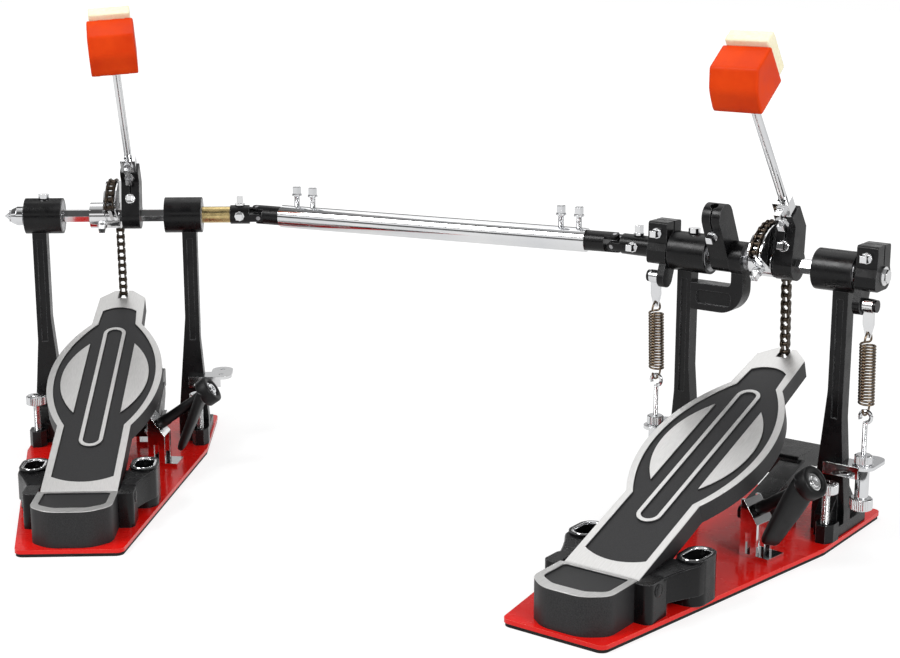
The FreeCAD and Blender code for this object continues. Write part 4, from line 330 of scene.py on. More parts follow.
def worn_edges(tree, radius, scale):
    """How much an edge has been rubbed: 0 on flat faces, broken up by noise near edges."""
    across = tree.nodes.new("ShaderNodeVectorMath")
    across.operation = "DOT_PRODUCT"
    tree.links.new(soft_edges(tree, radius), across.inputs[0])
    tree.links.new(tree.nodes.new("ShaderNodeNewGeometry").outputs["Normal"], across.inputs[1])
    rubbed = between(tree, across.outputs["Value"], 1.0, 0.0, 0.86, 0.985)
    patches = between(tree, noise_of(tree, scale, 5), 0.15, 1.0, 0.35, 0.6)
    return maths(tree, "MULTIPLY", rubbed, patches)


def relief(tree, shader, height, depth, edge=0.4 * MM):
    """Fine relief on top of softly rounded edges."""
    bump = tree.nodes.new("ShaderNodeBump")
    bump.inputs["Distance"].default_value = depth
    tree.links.new(height, bump.inputs["Height"])
    tree.links.new(soft_edges(tree, edge), bump.inputs["Normal"])
    tree.links.new(bump.outputs["Normal"], shader.inputs["Normal"])


def red_paint():
    material, tree, shader = new_material("red_paint", (0.6, 0.004, 0.004), 0.0, 0.22)
    shader.inputs["Coat Weight"].default_value = 0.45
    shader.inputs["Coat Roughness"].default_value = 0.05
    shader.inputs["Specular IOR Level"].default_value = 0.12
    cloud = mottled(tree, 18, 4, (0.66, 0.0015, 0.0015), (0.8, 0.004, 0.003))
    flake = mixed_colour(tree, uneven(tree, 1500, 2, 0, 0.25), cloud, (0.85, 0.05, 0.03))
    worn = worn_edges(tree, 0.5 * MM, 90)
    tree.links.new(mixed_colour(tree, worn, flake, (0.9, 0.16, 0.1)), shader.inputs["Base Color"])
    tree.links.new(uneven(tree, 60, 5, 0.16, 0.34), shader.inputs["Roughness"])
    relief(tree, shader, noise_of(tree, 160, 3), 0.02 * MM)
    return material


def black_coat(name, rough, edge):
    """Satin black over cast or turned metal, rubbed bright along its edges."""
    material, tree, shader = new_material(name, (0.008, 0.008, 0.009), 0.0, rough)
    shader.inputs["Specular IOR Level"].default_value = 0.28
    tone = mottled(tree, 25, 5, (0.002, 0.002, 0.0024), (0.006, 0.006, 0.0065))
    worn = worn_edges(tree, edge, 70)
    tree.links.new(mixed_colour(tree, worn, tone, (0.14, 0.14, 0.145)), shader.inputs["Base Color"])
    satin = uneven(tree, 120, 5, rough - 0.08, rough + 0.1)
    tree.links.new(mixed_number(tree, worn, satin, 0.22), shader.inputs["Roughness"])
    relief(tree, shader, noise_of(tree, 900, 3), 0.03 * MM, edge)
    return material


def chrome():
    material, tree, shader = new_material("chrome", (0.8, 0.81, 0.82), 1.0, 0.07)
    tree.links.new(uneven(tree, 55, 6, 0.045, 0.14), shader.inputs["Roughness"])
    tint = mottled(tree, 14, 4, (0.72, 0.73, 0.75), (0.86, 0.86, 0.86))
    tree.links.new(tint, shader.inputs["Base Color"])
    relief(tree, shader, noise_of(tree, 260, 3), 0.01 * MM, 0.35 * MM)
    return material


def steel(name, colour, low, high):
    """A plain metal with tool marks and a slightly uneven colour."""
    material, tree, shader = new_material(name, colour, 1.0, low)
    dark = tuple(0.72 * channel for channel in colour)
    tree.links.new(mottled(tree, 220, 5, dark, colour), shader.inputs["Base Color"])
    tree.links.new(uneven(tree, 150, 5, low, high), shader.inputs["Roughness"])
    relief(tree, shader, noise_of(tree, 900, 3), 0.02 * MM, 0.2 * MM)
    return material


def head_plastic():
    material, tree, shader = new_material("head_plastic", (0.62, 0.02, 0.003), 0.0, 0.42)
    shader.inputs["Subsurface Weight"].default_value = 0.08
    shader.inputs["Subsurface Radius"].default_value = (2 * MM, 0.6 * MM, 0.3 * MM)
    shader.inputs["Specular IOR Level"].default_value = 0.12
    tone = mottled(tree, 40, 5, (0.6, 0.034, 0.001), (0.74, 0.056, 0.002))
    worn = worn_edges(tree, 1.2 * MM, 60)
    tree.links.new(mixed_colour(tree, worn, tone, (0.9, 0.1, 0.02)), shader.inputs["Base Color"])
    tree.links.new(uneven(tree, 80, 4, 0.36, 0.5), shader.inputs["Roughness"])
    relief(tree, shader, noise_of(tree, 1100, 3), 0.06 * MM, 1.6 * MM)
    return material


def felt_wool():
    material, tree, shader = new_material("felt", (0.9, 0.82, 0.5), 0.0, 0.95)
    shader.inputs["Sheen Weight"].default_value = 0.5
    shader.inputs["Sheen Roughness"].default_value = 0.5
    shader.inputs["Specular IOR Level"].default_value = 0.1
    fibre = mottled(tree, 420, 8, (0.88, 0.8, 0.5), (0.97, 0.92, 0.66))
    tree.links.new(mixed_colour(tree, uneven(tree, 45, 4, 0, 0.5), fibre, (0.97, 0.93, 0.72)),
                   shader.inputs["Base Color"])
    bump = tree.nodes.new("ShaderNodeBump")
    bump.inputs["Distance"].default_value = 0.5 * MM
    tree.links.new(noise_of(tree, 1300, 9), bump.inputs["Height"])
    tree.links.new(bump.outputs["Normal"], shader.inputs["Normal"])
    return material


def rubber():
    material, tree, shader = new_material("rubber", (0.012, 0.012, 0.012), 0.0, 0.75)
    shader.inputs["Specular IOR Level"].default_value = 0.25
    tree.links.new(mottled(tree, 60, 4, (0.008, 0.008, 0.008), (0.022, 0.021, 0.02)),
                   shader.inputs["Base Color"])
    tree.links.new(uneven(tree, 200, 5, 0.65, 0.85), shader.inputs["Roughness"])
    relief(tree, shader, noise_of(tree, 900, 3), 0.1 * MM)
    return material


def top_plane(node):
    """The normal and distance of the highest faces that look the way most of the upper side does."""
    mesh = NODES[node].data
    area = {}
    for polygon in mesh.polygons:
        if polygon.normal.z > 0.5:
            key = tuple(round(number, 2) for number in polygon.normal)
            area[key] = area.get(key, 0) + polygon.area
    normal = Vector(max(area, key=area.get)).normalized()
    faces = [polygon for polygon in mesh.polygons
             if polygon.normal.dot(normal) > 0.9995 and polygon.area > 0]
    normal = sum((polygon.normal * polygon.area for polygon in faces), Vector()).normalized()
    return normal, max(polygon.center.dot(normal) for polygon in faces)


# Depths below the top of a cast board where black begins to give way to bright metal, and where it has
BRIGHT_FROM = 0.6 * MM
BRIGHT_TO = 0.4 * MM
BRUSH_GRAIN = (0.5 * MM, 30 * MM, 2 * MM)


def board_metal(node, along):
    """Cast metal, brushed bright on its topmost faces, grained black in sunk fields and on its sides."""
    normal, level = top_plane(node)
    material, tree, shader = new_material(node + "_metal", (0.6, 0.6, 0.61), 0.0, 0.3)
    shader.inputs["Specular IOR Level"].default_value = 0.35
    height = tree.nodes.new("ShaderNodeVectorMath")
    height.operation = "DOT_PRODUCT"
    height.inputs[1].default_value = normal
    tree.links.new(point(tree), height.inputs[0])
    bright = between(tree, height.outputs["Value"], 0.0, 1.0, level - BRIGHT_FROM, level - BRIGHT_TO)
    brushed = noise_of(tree, 1.0, 4, ((0, 0, along), BRUSH_GRAIN))
    silver = mixed_colour(tree, between(tree, brushed, 0, 1, 0.35, 0.65),
                          (0.7, 0.695, 0.685), (0.78, 0.775, 0.765))
    grain = noise_of(tree, 1400, 3)
    black = mixed_colour(tree, between(tree, grain, 0, 1), (0.008, 0.008, 0.009), (0.03, 0.03, 0.031))
    tree.links.new(mixed_colour(tree, bright, black, silver), shader.inputs["Base Color"])
    tree.links.new(bright, shader.inputs["Metallic"])
    rough = mixed_number(tree, bright, between(tree, grain, 0.42, 0.6),
                         between(tree, brushed, 0.34, 0.46))
    tree.links.new(rough, shader.inputs["Roughness"])
    marks = mixed_number(tree, bright, grain, between(tree, brushed, 0.0, 0.15))
    relief(tree, shader, marks, 0.05 * MM, 0.3 * MM)
    return material


LOOKS = {
    "red_paint": red_paint(),
    "black_paint": black_coat("black_paint", 0.27, 0.7 * MM),
    "chrome": chrome(),
    "bearing_steel": steel("bearing_steel", (0.42, 0.42, 0.43), 0.2, 0.35),
    "chain_steel": steel("chain_steel", (0.085, 0.066, 0.05), 0.26, 0.45),
    "spring_steel": steel("spring_steel", (0.22, 0.165, 0.115), 0.24, 0.4),
    "head_plastic": head_plastic(),
    "felt": felt_wool(),
    "black_rubber": rubber(),
    "brass": steel("brass", (0.72, 0.56, 0.26), 0.18, 0.34),
    "black_plastic": black_coat("black_plastic", 0.42, 0.9 * MM),
}
SLOTS = {part["node"]: part["material_slot"] for part in frame["record"]["subparts"]}


def dress_nodes():
    yaw = {"slave_footboard": yaw_of(JOINTS["slave_axle_turn"])}
    for node, slot in SLOTS.items():
        look = LOOKS[slot] if slot in LOOKS else board_metal(node, yaw.get(node, 0.0))
        for holder in NODES[node].material_slots:
            holder.material = look


# Springs: round wire wound between two half loops

WIRE = 1.6 * MM
COIL_RADIUS = 5.3 * MM
COIL_GAP = 0.6 * MM
LOOP_BEND = 2.5 * MM
HANGER_LENGTH = 20 * MM
COIL_STEPS = 20
LOOP_STEPS = 16
BEND_STEPS = 12


def spring_path(length):
    """The wire's middle line below a hanger's pivot at the origin; the loops lie in the YZ plane."""
    loop = math.hypot(COIL_RADIUS, LOOP_BEND)
    swing = math.atan2(LOOP_BEND, COIL_RADIUS)
    top = -HANGER_LENGTH - LOOP_BEND - loop
    bottom = -length + LOOP_BEND + loop
    turns = int((top - bottom) / (WIRE + COIL_GAP))
    sweep = 2 * math.pi * turns - 2 * swing
    head = []
    for step in range(LOOP_STEPS + 1):
        turn = math.pi * (1 - step / LOOP_STEPS)
        head.append(Vector((COIL_RADIUS * math.cos(turn), -LOOP_BEND * math.cos(turn),
                            top + LOOP_BEND + loop * math.sin(turn))))
    for step in range(1, BEND_STEPS // 2):
        turn = math.pi * (1 + step / BEND_STEPS)
        head.append(Vector((COIL_RADIUS, LOOP_BEND * math.cos(turn),
                            top + LOOP_BEND + LOOP_BEND * math.sin(turn))))
    coil = []
    steps = COIL_STEPS * turns
    for step in range(steps + 1):
        turn = sweep * step / steps
        height = top + (bottom - top) * step / steps
        coil.append(Vector((COIL_RADIUS * math.cos(turn), COIL_RADIUS * math.sin(turn), height)))
    upended = Matrix.Translation((0, 0, top + bottom)) @ Matrix.Rotation(math.pi, 4, "X")
    half_turn = Matrix.Rotation(sweep, 4, "Z") @ upended
    tail = [half_turn @ spot for spot in reversed(head)]
    level = Matrix.Rotation(math.pi / 2 + swing, 4, "Z")
    return [level @ spot for spot in head + coil + tail]


def spring_frame(side):
    """A spring's place at its hanger's pivot and its length to the tension rod's hook."""
    pivot = Vector(JOINTS[side + "_hanger_turn"]["pos_m"])
    down = Vector(JOINTS[side + "_spring_stretch"]["axis"])
    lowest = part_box(side + "_spring")[0][2]
    length = (pivot.z - lowest - WIRE / 2) / -down.z
    return pivot, down, length


def make_springs():
    for side in ("main", "output"):
        pivot, down, length = spring_frame(side)
        lean = math.atan2(down.y, -down.z)
        place = Matrix.Translation(pivot) @ Matrix.Rotation(lean, 4, "X")
        shape = placed(tube(spring_path(length), WIRE / 2), place)
        piece = add_piece(side + "_spring_wire", shape, LOOKS["spring_steel"], None, 60)
        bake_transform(piece)
        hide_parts(side + "_spring")


# Chains: waisted plates, rollers and chamfered pins

PITCH = 6.35 * MM
CHAIN_TEETH = 28
WRAP_LINKS = 9
RUN_LINKS = 13
PLATE = 0.75 * MM
PLATE_END = 2.9 * MM
PLATE_WAIST = 2.1 * MM
INNER_HALF = 1.6 * MM
PLATE_GAP = 0.15 * MM
ROLLER = 1.65 * MM
PIN = 1.0 * MM
PIN_END = 0.45 * MM
FLANGE_HALF = 5.3 * MM
LUG_HALF = 9.5 * MM
PLATE_EASE = 0.15 * MM
PLATE_ARC = 230
ARC_STEPS = 11
ALONG_X = Matrix.Rotation(math.pi / 2, 4, "Y")


def plate_ring(inset, x):
    """The waisted outline of a side plate between pins at 0 and one pitch along Y."""
    end, waist = PLATE_END - inset, PLATE_WAIST - inset
    ring = []
    for centre, first in ((PITCH, -PLATE_ARC / 2), (0.0, 180 - PLATE_ARC / 2)):
        for step in range(ARC_STEPS + 1):
            turn = math.radians(first + PLATE_ARC * step / ARC_STEPS)
            ring.append(Vector((x, centre + end * math.cos(turn), end * math.sin(turn))))
        ring.append(Vector((x, PITCH / 2, waist if first < 0 else -waist)))
    return ring


def link_shape(outer):
    """Two side plates of one link."""
    low = INNER_HALF + (PLATE + PLATE_GAP if outer else 0)
    high = low + PLATE
    plates = []
    for side in (-1, 1):
        layers = ((PLATE_EASE, low), (0, low + PLATE_EASE), (0, high - PLATE_EASE), (PLATE_EASE, high))
        rings = [plate_ring(inset, side * x) for inset, x in layers]
        plates.append(skinned(rings if side > 0 else rings[::-1]))
    return combined(plates)


def pin_shape(half):
    ease = 0.3 * MM
    return placed(revolved([(0.6 * PIN, -half), (PIN, -half + ease), (PIN, half - ease),
                            (0.6 * PIN, half)], 14), ALONG_X)


def roller_shape():
    half, ease = INNER_HALF - 0.1 * MM, 0.2 * MM
    return placed(revolved([(ROLLER - ease, -half), (ROLLER, -half + ease), (ROLLER, half - ease),
                            (ROLLER - ease, half)], 16), ALONG_X)


def strand(pins, first_outer):
    """The plates of the links along a row of pins, by turns outer and inner."""
    shapes = []
    for index in range(len(pins) - 1):
        ahead = pins[index + 1] - pins[index]
        turn = math.atan2(ahead.z, ahead.y)
        place = Matrix.Translation(pins[index]) @ Matrix.Rotation(turn, 4, "X")
        shapes.append(placed(link_shape((index % 2 == 0) == first_outer), place))
    return shapes


def pinned(spots, half):
    """A pin and a roller at each spot."""
    return [placed(shape, Matrix.Translation(spot))
            for spot in spots for shape in (pin_shape(half), roller_shape())]


def make_chains():
    step = 2 * math.pi / CHAIN_TEETH
    for side, place in TRAINS.items():
        local = [place.inverted() @ Vector(JOINTS[f"{side}_chain_pin_{name}"]["pos_m"])
                 for name in ("run", "a", "b", "c")]
        pins = [Vector((0, spot.y, spot.z)) for spot in local]
        centre = Vector((0, 0, AXLE_HEIGHT))
        for index in range(WRAP_LINKS):
            pins.append(centre + Matrix.Rotation(step, 3, "X") @ (pins[-1] - centre))
        lean = math.atan2(pins[0].z - AXLE_HEIGHT, pins[0].y)
        down = Vector((0, math.sin(lean), -math.cos(lean)))
        run = [pins[0] + down * (PITCH * index) for index in range(RUN_LINKS + 1)]
        half = INNER_HALF + 2 * PLATE + PLATE_GAP + PIN_END
        pieces = {
            "wrap": strand(pins[3:], True) + pinned(pins[3:-1], half) + pinned(pins[-1:], FLANGE_HALF),
            "link_a": strand([pins[1], pins[0]], False),
            "link_b": strand([pins[2], pins[1]], True) + pinned(pins[1:3], half),
            "link_c": strand([pins[3], pins[2]], False),
            "run": strand(run, True) + pinned(run[:-1], half) + pinned(run[-1:], LUG_HALF),
        }
        bodies = {"wrap": side + "_axle", "run": side + "_chain_run"}
        for name, shapes in pieces.items():
            shape = placed(combined(shapes), place)
            body = bodies.get(name, f"{side}_{name}")
            piece = add_piece(f"{side}_chain_{name}_links", shape, LOOKS["chain_steel"], body,
                              40)
            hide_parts(f"{side}_chain_{name}")


# Beater heads with rounded edges, and their felts: voxel size and rounds of smoothing

SOFT = {"head": (0.8 * MM, 14), "felt": (0.9 * MM, 8)}
PAD_SLOTS = {"head": "head_plastic", "felt": "felt"}
FUZZ_SCALE = 420
FUZZ = 0.25 * MM
FUZZ_INSET = 0.1 * MM


def softened(node, name, voxel, rounds):
    """A finely meshed copy of a node with its edges rounded."""
    piece = bpy.data.objects.new(name, NODES[node].data.copy())
    bpy.context.collection.objects.link(piece)
    remesh = piece.modifiers.new("remesh", "REMESH")
    remesh.mode = "VOXEL"
    remesh.voxel_size = voxel
    smooth = piece.modifiers.new("smooth", "SMOOTH")
    smooth.factor, smooth.iterations = 0.5, rounds
    bpy.context.view_layer.update()
    graph = bpy.context.evaluated_depsgraph_get()
    final = bpy.data.meshes.new_from_object(piece.evaluated_get(graph))
    piece.modifiers.clear()
    piece.data = final
    for polygon in final.polygons:
        polygon.use_smooth = True
    return piece


def make_heads():
    for side in PEDALS:
        for kind, slot in PAD_SLOTS.items():
            node = f"{side}_beater_{kind}"
            piece = softened(node, f"{side}_{kind}_pad", *SOFT[kind])
            if kind == "felt":
                middle = middle_of(node)
                for vertex in piece.data.vertices:
                    fuzz = noise.fractal(vertex.co * FUZZ_SCALE, 1.0, 2.0, 4) * FUZZ
                    vertex.co += (vertex.co - middle).normalized() * (fuzz - FUZZ_INSET)
            piece.data.materials.clear()
            piece.data.materials.append(LOOKS[slot])
            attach(piece, side + "_axle")
            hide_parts(node)


# Spurs and tension rods with threads and knurled heads

SPUR = Vector((69 * MM, -26 * MM, 0))
SPUR_TIP = 5.7 * MM
SPUR_POINT = 3 * MM
SPUR_RADIUS = 3 * MM
SPUR_HEAD = (42 * MM, 50 * MM)
SPUR_KNURL = 8.5 * MM
SPUR_SOCKET = 5 * MM


def make_spurs():
    low, high = SPUR_HEAD
    socket, shank = hexagonal(SPUR_SOCKET), SPUR_TIP + SPUR_POINT
    top = revolved([(5.5 * MM, high), (5.2 * MM, high + 0.4 * MM), (socket, high + 0.4 * MM),
                    (socket, high - 1.0 * MM)], 36)
    tip = revolved([(0.3 * MM, SPUR_TIP), (2.6 * MM, shank), (2.6 * MM, shank + 0.2 * MM)], 20)
    thread = thread_shape(SPUR_RADIUS, shank, low)
    shape = combined([thread, tip, knurl_shape(SPUR_KNURL, low, high), top])
    places = [pedal @ Matrix.Translation((side * SPUR.x, SPUR.y, 0))
              for pedal in PEDALS.values() for side in (-1, 1)]
    piece = add_piece("spur_threads", combined([placed(shape, place) for place in places]),
                      LOOKS["chrome"], "frame", 30)
    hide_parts("spur_screws")


ROD = 2 * MM
HOOK_TUBE = 1.6 * MM
HOOK_RADIUS = 4.2 * MM
HOOK_CLEARANCE = 0.4 * MM
# Underside and upper side of the shelf that holds the rod
SHELF = (58 * MM, 60.5 * MM)
# Lock nut: radius and height over the shelf. Adjusting nut: radius, lower and upper end
LOCK_NUT = (6.5 * MM, 8 * MM)
ADJUSTER = (8.5 * MM, 27 * MM, 36 * MM)
SLEEVE = 5 * MM
WASHER_RIM = 1 * MM
WASHER_HEIGHT = 0.8 * MM
HOOK_SWEEP = math.radians(300)
HOOK_STEPS = 30


def tension_rod(hook_height):
    """A threaded rod with its hook, lock nut, sleeve and adjusting nut."""
    centre = hook_height + WIRE / 2 + HOOK_CLEARANCE + HOOK_TUBE - HOOK_RADIUS
    neck = centre - HOOK_RADIUS
    hook = [Vector((0, 0, neck - 2 * MM))]
    hook += [Vector((HOOK_RADIUS * math.sin(turn), 0, centre - HOOK_RADIUS * math.cos(turn)))
             for turn in (HOOK_SWEEP * step / HOOK_STEPS for step in range(HOOK_STEPS + 1))]
    radius, low, high = ADJUSTER
    under, over = SHELF
    nut, rise = LOCK_NUT
    sleeve = revolved([(SLEEVE - 0.5 * MM, high), (SLEEVE, high + 0.5 * MM), (SLEEVE, under - 1 * MM),
                       (SLEEVE - 0.5 * MM, under)], 28)
    washer = revolved([(nut + WASHER_RIM, over), (nut + WASHER_RIM, over + WASHER_HEIGHT)], 28)
    lock_nut = knurl_shape(nut, over + WASHER_HEIGHT, over + rise, 30)
    return combined([thread_shape(ROD, over + rise - 1 * MM, neck), tube(hook, HOOK_TUBE, 12), sleeve,
                     washer, lock_nut, knurl_shape(radius, low, high)])


def make_tension_rods():
    shapes = []
    for side in ("main", "output"):
        pivot, down, length = spring_frame(side)
        hook = pivot + down * length
        shapes.append(placed(tension_rod(hook.z), Matrix.Translation((hook.x, hook.y, 0))))
    piece = add_piece("tension_rod_threads", combined(shapes), LOOKS["chrome"], "frame", 30)
    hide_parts("spring_tensioners")


# Bright rims and screws in the oval recesses

OVAL = Vector((42 * MM, -178 * MM, 37 * MM))
OVAL_LENGTH = 25 * MM
OVAL_WIDTH = 14 * MM
OVAL_FLOOR = 26 * MM
OVAL_STEPS = 16
# Outward growth and height of the rim's rings, in millimetres
OVAL_RIM = ((-0.1, -2.0), (-0.1, -0.2), (0.3, 0.25), (1.4, 0.3), (1.7, -0.1))
SOCKET_SCREW = 4.6 * MM


def oval_ring(grow, height):
    """A round-ended oval along Y."""
    radius = OVAL_WIDTH / 2 + grow
    reach = (OVAL_LENGTH - OVAL_WIDTH) / 2
    ring = []
    for centre, first in ((reach, 0), (-reach, math.pi)):
        for step in range(OVAL_STEPS + 1):
            turn = first + math.pi * step / OVAL_STEPS
            ring.append(Vector((radius * math.cos(turn), centre + radius * math.sin(turn), height)))
    return ring


def make_recess_rims():
    rim = skinned([oval_ring(grow * MM, height * MM) for grow, height in OVAL_RIM], False)
    floor = OVAL_FLOOR - OVAL.z
    screw = socket_screw(SOCKET_SCREW, floor, floor + 4 * MM, 4 * MM)
    rims, screws = [], []
    for place in TRAINS.values():
        for side in (-1, 1):
            seat = place @ Matrix.Translation((side * OVAL.x, OVAL.y, OVAL.z))
            rims.append(placed(rim, seat))
            screws.append(placed(screw, seat))
    add_piece("recess_rims", combined(rims), LOOKS["chrome"], "frame", 50)
    add_piece("recess_screws", combined(screws), LOOKS["chrome"], "frame")


# Handles of the hoop clamps

EYE_FLOOR = 52.75 * MM
EYE_RADIUS = 7.0 * MM


def make_handle_screws():
    """A ringed socket screw in the eye of each handle."""
    crest = EYE_FLOOR + 1.2 * MM
    ring = revolved([(EYE_RADIUS, EYE_FLOOR), (EYE_RADIUS, EYE_FLOOR + 0.9 * MM),
                     (EYE_RADIUS - 0.5 * MM, crest), (EYE_RADIUS - 1.6 * MM, crest)], 32)
    screw = socket_screw(SOCKET_SCREW, EYE_FLOOR + 1.0 * MM, EYE_FLOOR + 2.6 * MM, 4.4 * MM)
    for side in PEDALS:
        joint = JOINTS[side + "_bolt_turn"]
        turn = Vector(joint["axis"]).to_track_quat("Z", "Y").to_matrix().to_4x4()
        shape = placed(combined([ring, screw]), Matrix.Translation(joint["pos_m"]) @ turn)
        add_piece(side + "_handle_screw", shape, LOOKS["chrome"], side + "_bolt")


GRIP_FOOT = Vector((42 * MM, -79 * MM, 0))
GRIP_YAW = math.radians(-8)
GRIP_HEIGHT = 39 * MM
GRIP_TILT = math.radians(55)
GRIP_LENGTH = 50 * MM
GRIP_TAIL = 14 * MM
PADDLE_TILT = math.radians(57.5)
HANDLE_TURN = {"main": math.radians(-22), "slave": 0.0}
# Along the paddle from the eye: half width, underside and upper side, in millimetres
PADDLE = ((1, 11.3, -7.6, 0.2), (8, 11.8, -7.6, 0.5), (18, 11.8, -7.4, 0.8), (28, 11.0, -7.1, 0.6),
          (38, 9.8, -6.9, 0.2), (47, 8.9, -6.7, 0), (52, 8.0, -6.3, -0.3), (54.4, 6.4, -5.4, -1.2))
PADDLE_STEPS = 24
PADDLE_ROUNDING = 0.55
# Radius and height of the eye, over its middle, and of the sleeve, in millimetres
EYE = ((9.6, -5.2), (11.0, -4.7), (11.5, -3.8), (11.5, 4.2), (11.0, 5.0), (10.2, 5.25), (7.6, 5.25),
       (7.1, 4.8), (7.1, 2.75))
GRIP_SLEEVE = ((4.4, 0.4), (4.8, 1.0), (4.8, 8), (4.3, 9), (4.3, 36), (5.5, 46))
BOLT_RADIUS = 3.5 * MM


def paddle_ring(reach, half, low, high):
    """A rounded rectangle across the paddle."""
    ring = []
    for step in range(PADDLE_STEPS):
        turn = 2 * math.pi * step / PADDLE_STEPS
        across, up = (math.copysign(abs(part) ** PADDLE_ROUNDING, part)
                      for part in (math.cos(turn), math.sin(turn)))
        ring.append(Vector((reach, half * across, (low + high) / 2 + (high - low) / 2 * up)) * MM)
    return ring


def make_handles():
    """Paddle handles with a sunk eye on a slim sleeve, and the threads of their bolts."""
    fold = Matrix.Translation((0, 0, GRIP_LENGTH)) @ Matrix.Rotation(PADDLE_TILT, 4, "Y")
    paddle = placed(skinned([paddle_ring(*row) for row in PADDLE]), fold)
    eye = revolved([(radius * MM, GRIP_LENGTH + height * MM) for radius, height in EYE], 40)
    sleeve = revolved([(radius * MM, height * MM) for radius, height in GRIP_SLEEVE], 28)
    thread = thread_shape(BOLT_RADIUS, -GRIP_TAIL, 0.5 * MM)
    for side, pedal in PEDALS.items():
        place = pedal @ Matrix.Translation(GRIP_FOOT) @ Matrix.Rotation(GRIP_YAW, 4, "Z")
        place = place @ Matrix.Translation((0, 0, GRIP_HEIGHT)) @ Matrix.Rotation(GRIP_TILT, 4, "Y")
        place = place @ Matrix.Rotation(HANDLE_TURN[side], 4, "Z")
        handle = placed(combined([paddle, eye, sleeve]), place)
        piece = add_piece(side + "_handle", handle, LOOKS["black_plastic"], side + "_bolt",
                          50)
        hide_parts(side + "_clamp_bolt")
        add_piece(side + "_bolt_thread", placed(thread, place), LOOKS["chrome"], side + "_bolt",
                  30)


# Plan of the shoulder from the hinge ear to the screw boss, and its heights at both, in millimetres
SHOULDER = ((31, -217), (40.6, -217), (43.5, -209), (48, -199), (51.6, -193), (52.3, -191), (52.3, -184),
            (49.3, -184), (49.3, -191.3), (31, -191.3))
SHOULDER_FOOT = 14
SHOULDER_TOP = (32.2, 36.4)
SHOULDER_START = -217
SHOULDER_RUN = 33
# Drop below the slope and inset of each ring; the foot has no drop
SHOULDER_RINGS = ((None, 0), (2.0, 0), (0.7, 0.4), (0, 1.5))
HINGE_PIN = Vector((41 * MM, -226 * MM, 26.5 * MM))
# Radius and height of the plug, in millimetres
HINGE_PLUG = ((4.4, 0), (4.4, 0.5), (3.6, 1.0), (1.5, 1.1))


def shoulder_ring(side, drop, inset):
    """The shoulder's plan at its foot, or at a drop below its slope."""
    low, high = SHOULDER_TOP
    spots = []
    for x, y in SHOULDER:
        slope = low + (high - low) * (y - SHOULDER_START) / SHOULDER_RUN
        level = SHOULDER_FOOT if drop is None else slope - drop
        spots.append(Vector((side * (x - inset), y, level)) * MM)
    return spots if side > 0 else spots[::-1]


def make_shoulders():
    """Sloped shoulders from the hinge ears to the screw bosses, and plugs over the hinge pin."""
    shapes, plugs = [], []
    plug = revolved([(radius * MM, height * MM) for radius, height in HINGE_PLUG], 28)
    for place in TRAINS.values():
        for side in (-1, 1):
            shapes.append(placed(skinned([shoulder_ring(side, *row) for row in SHOULDER_RINGS]), place))
            seat = Matrix.Translation((side * HINGE_PIN.x, HINGE_PIN.y, HINGE_PIN.z))
            plugs.append(placed(plug, place @ (seat @ Matrix.Rotation(side * math.pi / 2, 4, "Y"))))
    add_piece("wing_shoulders", combined(shapes), LOOKS["black_paint"], "frame", 30)
    add_piece("hinge_plugs", combined(plugs), LOOKS["black_paint"], "frame")


HOUSING_ENDS = (43 * MM, 74 * MM)
# Radii of the bore, inner race, seal and outer race
SEAL = (5.5 * MM, 8.0 * MM, 11.0 * MM, 12.9 * MM)


def make_bearing_faces():
    """Stepped races and seals on both ends of each housing."""
    inner, race, seal, outer = SEAL
    rise = 0.3 * MM
    sunk = 0.1 * MM
    profile = [(outer, 0), (outer - 0.3 * MM, rise), (seal + 0.1 * MM, rise), (seal, sunk),
               (race, sunk), (race - 0.1 * MM, rise), (inner + 0.2 * MM, rise), (inner, 0)]
    spots, faces = revolved(profile, 40)
    uncapped = spots, faces[:-2]
    shapes = []
    for pedal in PEDALS.values():
        for side in (-1, 1):
            for reach, out in zip(HOUSING_ENDS, (-1, 1)):
                seat = pedal @ Matrix.Translation((side * reach, 0, AXLE_HEIGHT))
                turn = Matrix.Rotation(side * out * math.pi / 2, 4, "Y")
                shapes.append(placed(uncapped, seat @ turn))
    add_piece("bearing_faces", combined(shapes), LOOKS["bearing_steel"], "frame")


# Key screws with square heads

WELD = 0.01 * MM
# Radius and height of the flange; width and height of the square
SCREW_FLANGE = (4.2 * MM, 1.6 * MM)
SCREW_SQUARE = (5 * MM, 6 * MM)
SCREW_RADIUS = 2.5 * MM


def islands(node):
    """The boxes of a node's separate solids, in the order of its vertices."""
    work = bmesh.new()
    work.from_mesh(NODES[node].data)
    bmesh.ops.remove_doubles(work, verts=work.verts, dist=WELD)
    left = set(work.verts)
    boxes = []
    for start in work.verts:
        if start not in left:
            continue
        left.discard(start)
        reached = [start]
        for vertex in reached:
            for edge in vertex.link_edges:
                other = edge.other_vert(vertex)
                if other in left:
                    left.discard(other)
                    reached.append(other)
        spots = [vertex.co.copy() for vertex in reached]
        boxes.append([Vector(pick(spot[axis] for spot in spots) for axis in range(3))
                      for pick in (min, max)])
    work.free()
    return boxes


def square(width):
    """The radius of a square by angle."""
    return lambda angle: width / 2 / math.cos((angle + math.pi / 4) % (math.pi / 2) - math.pi / 4)


def key_screw(shank):
    """A threaded shank, round flange and square head seated at the origin."""
    radius, rise = SCREW_FLANGE
    width, head = SCREW_SQUARE
    ease = 0.4 * MM
    top = revolved([(radius, 0), (radius, rise - ease), (radius - ease, rise), (square(width), rise),
                    (square(width), rise + head - ease), (square(width - 2 * ease), rise + head)], 48)
    return combined([thread_shape(SCREW_RADIUS, -shank, 0.2 * MM), top])


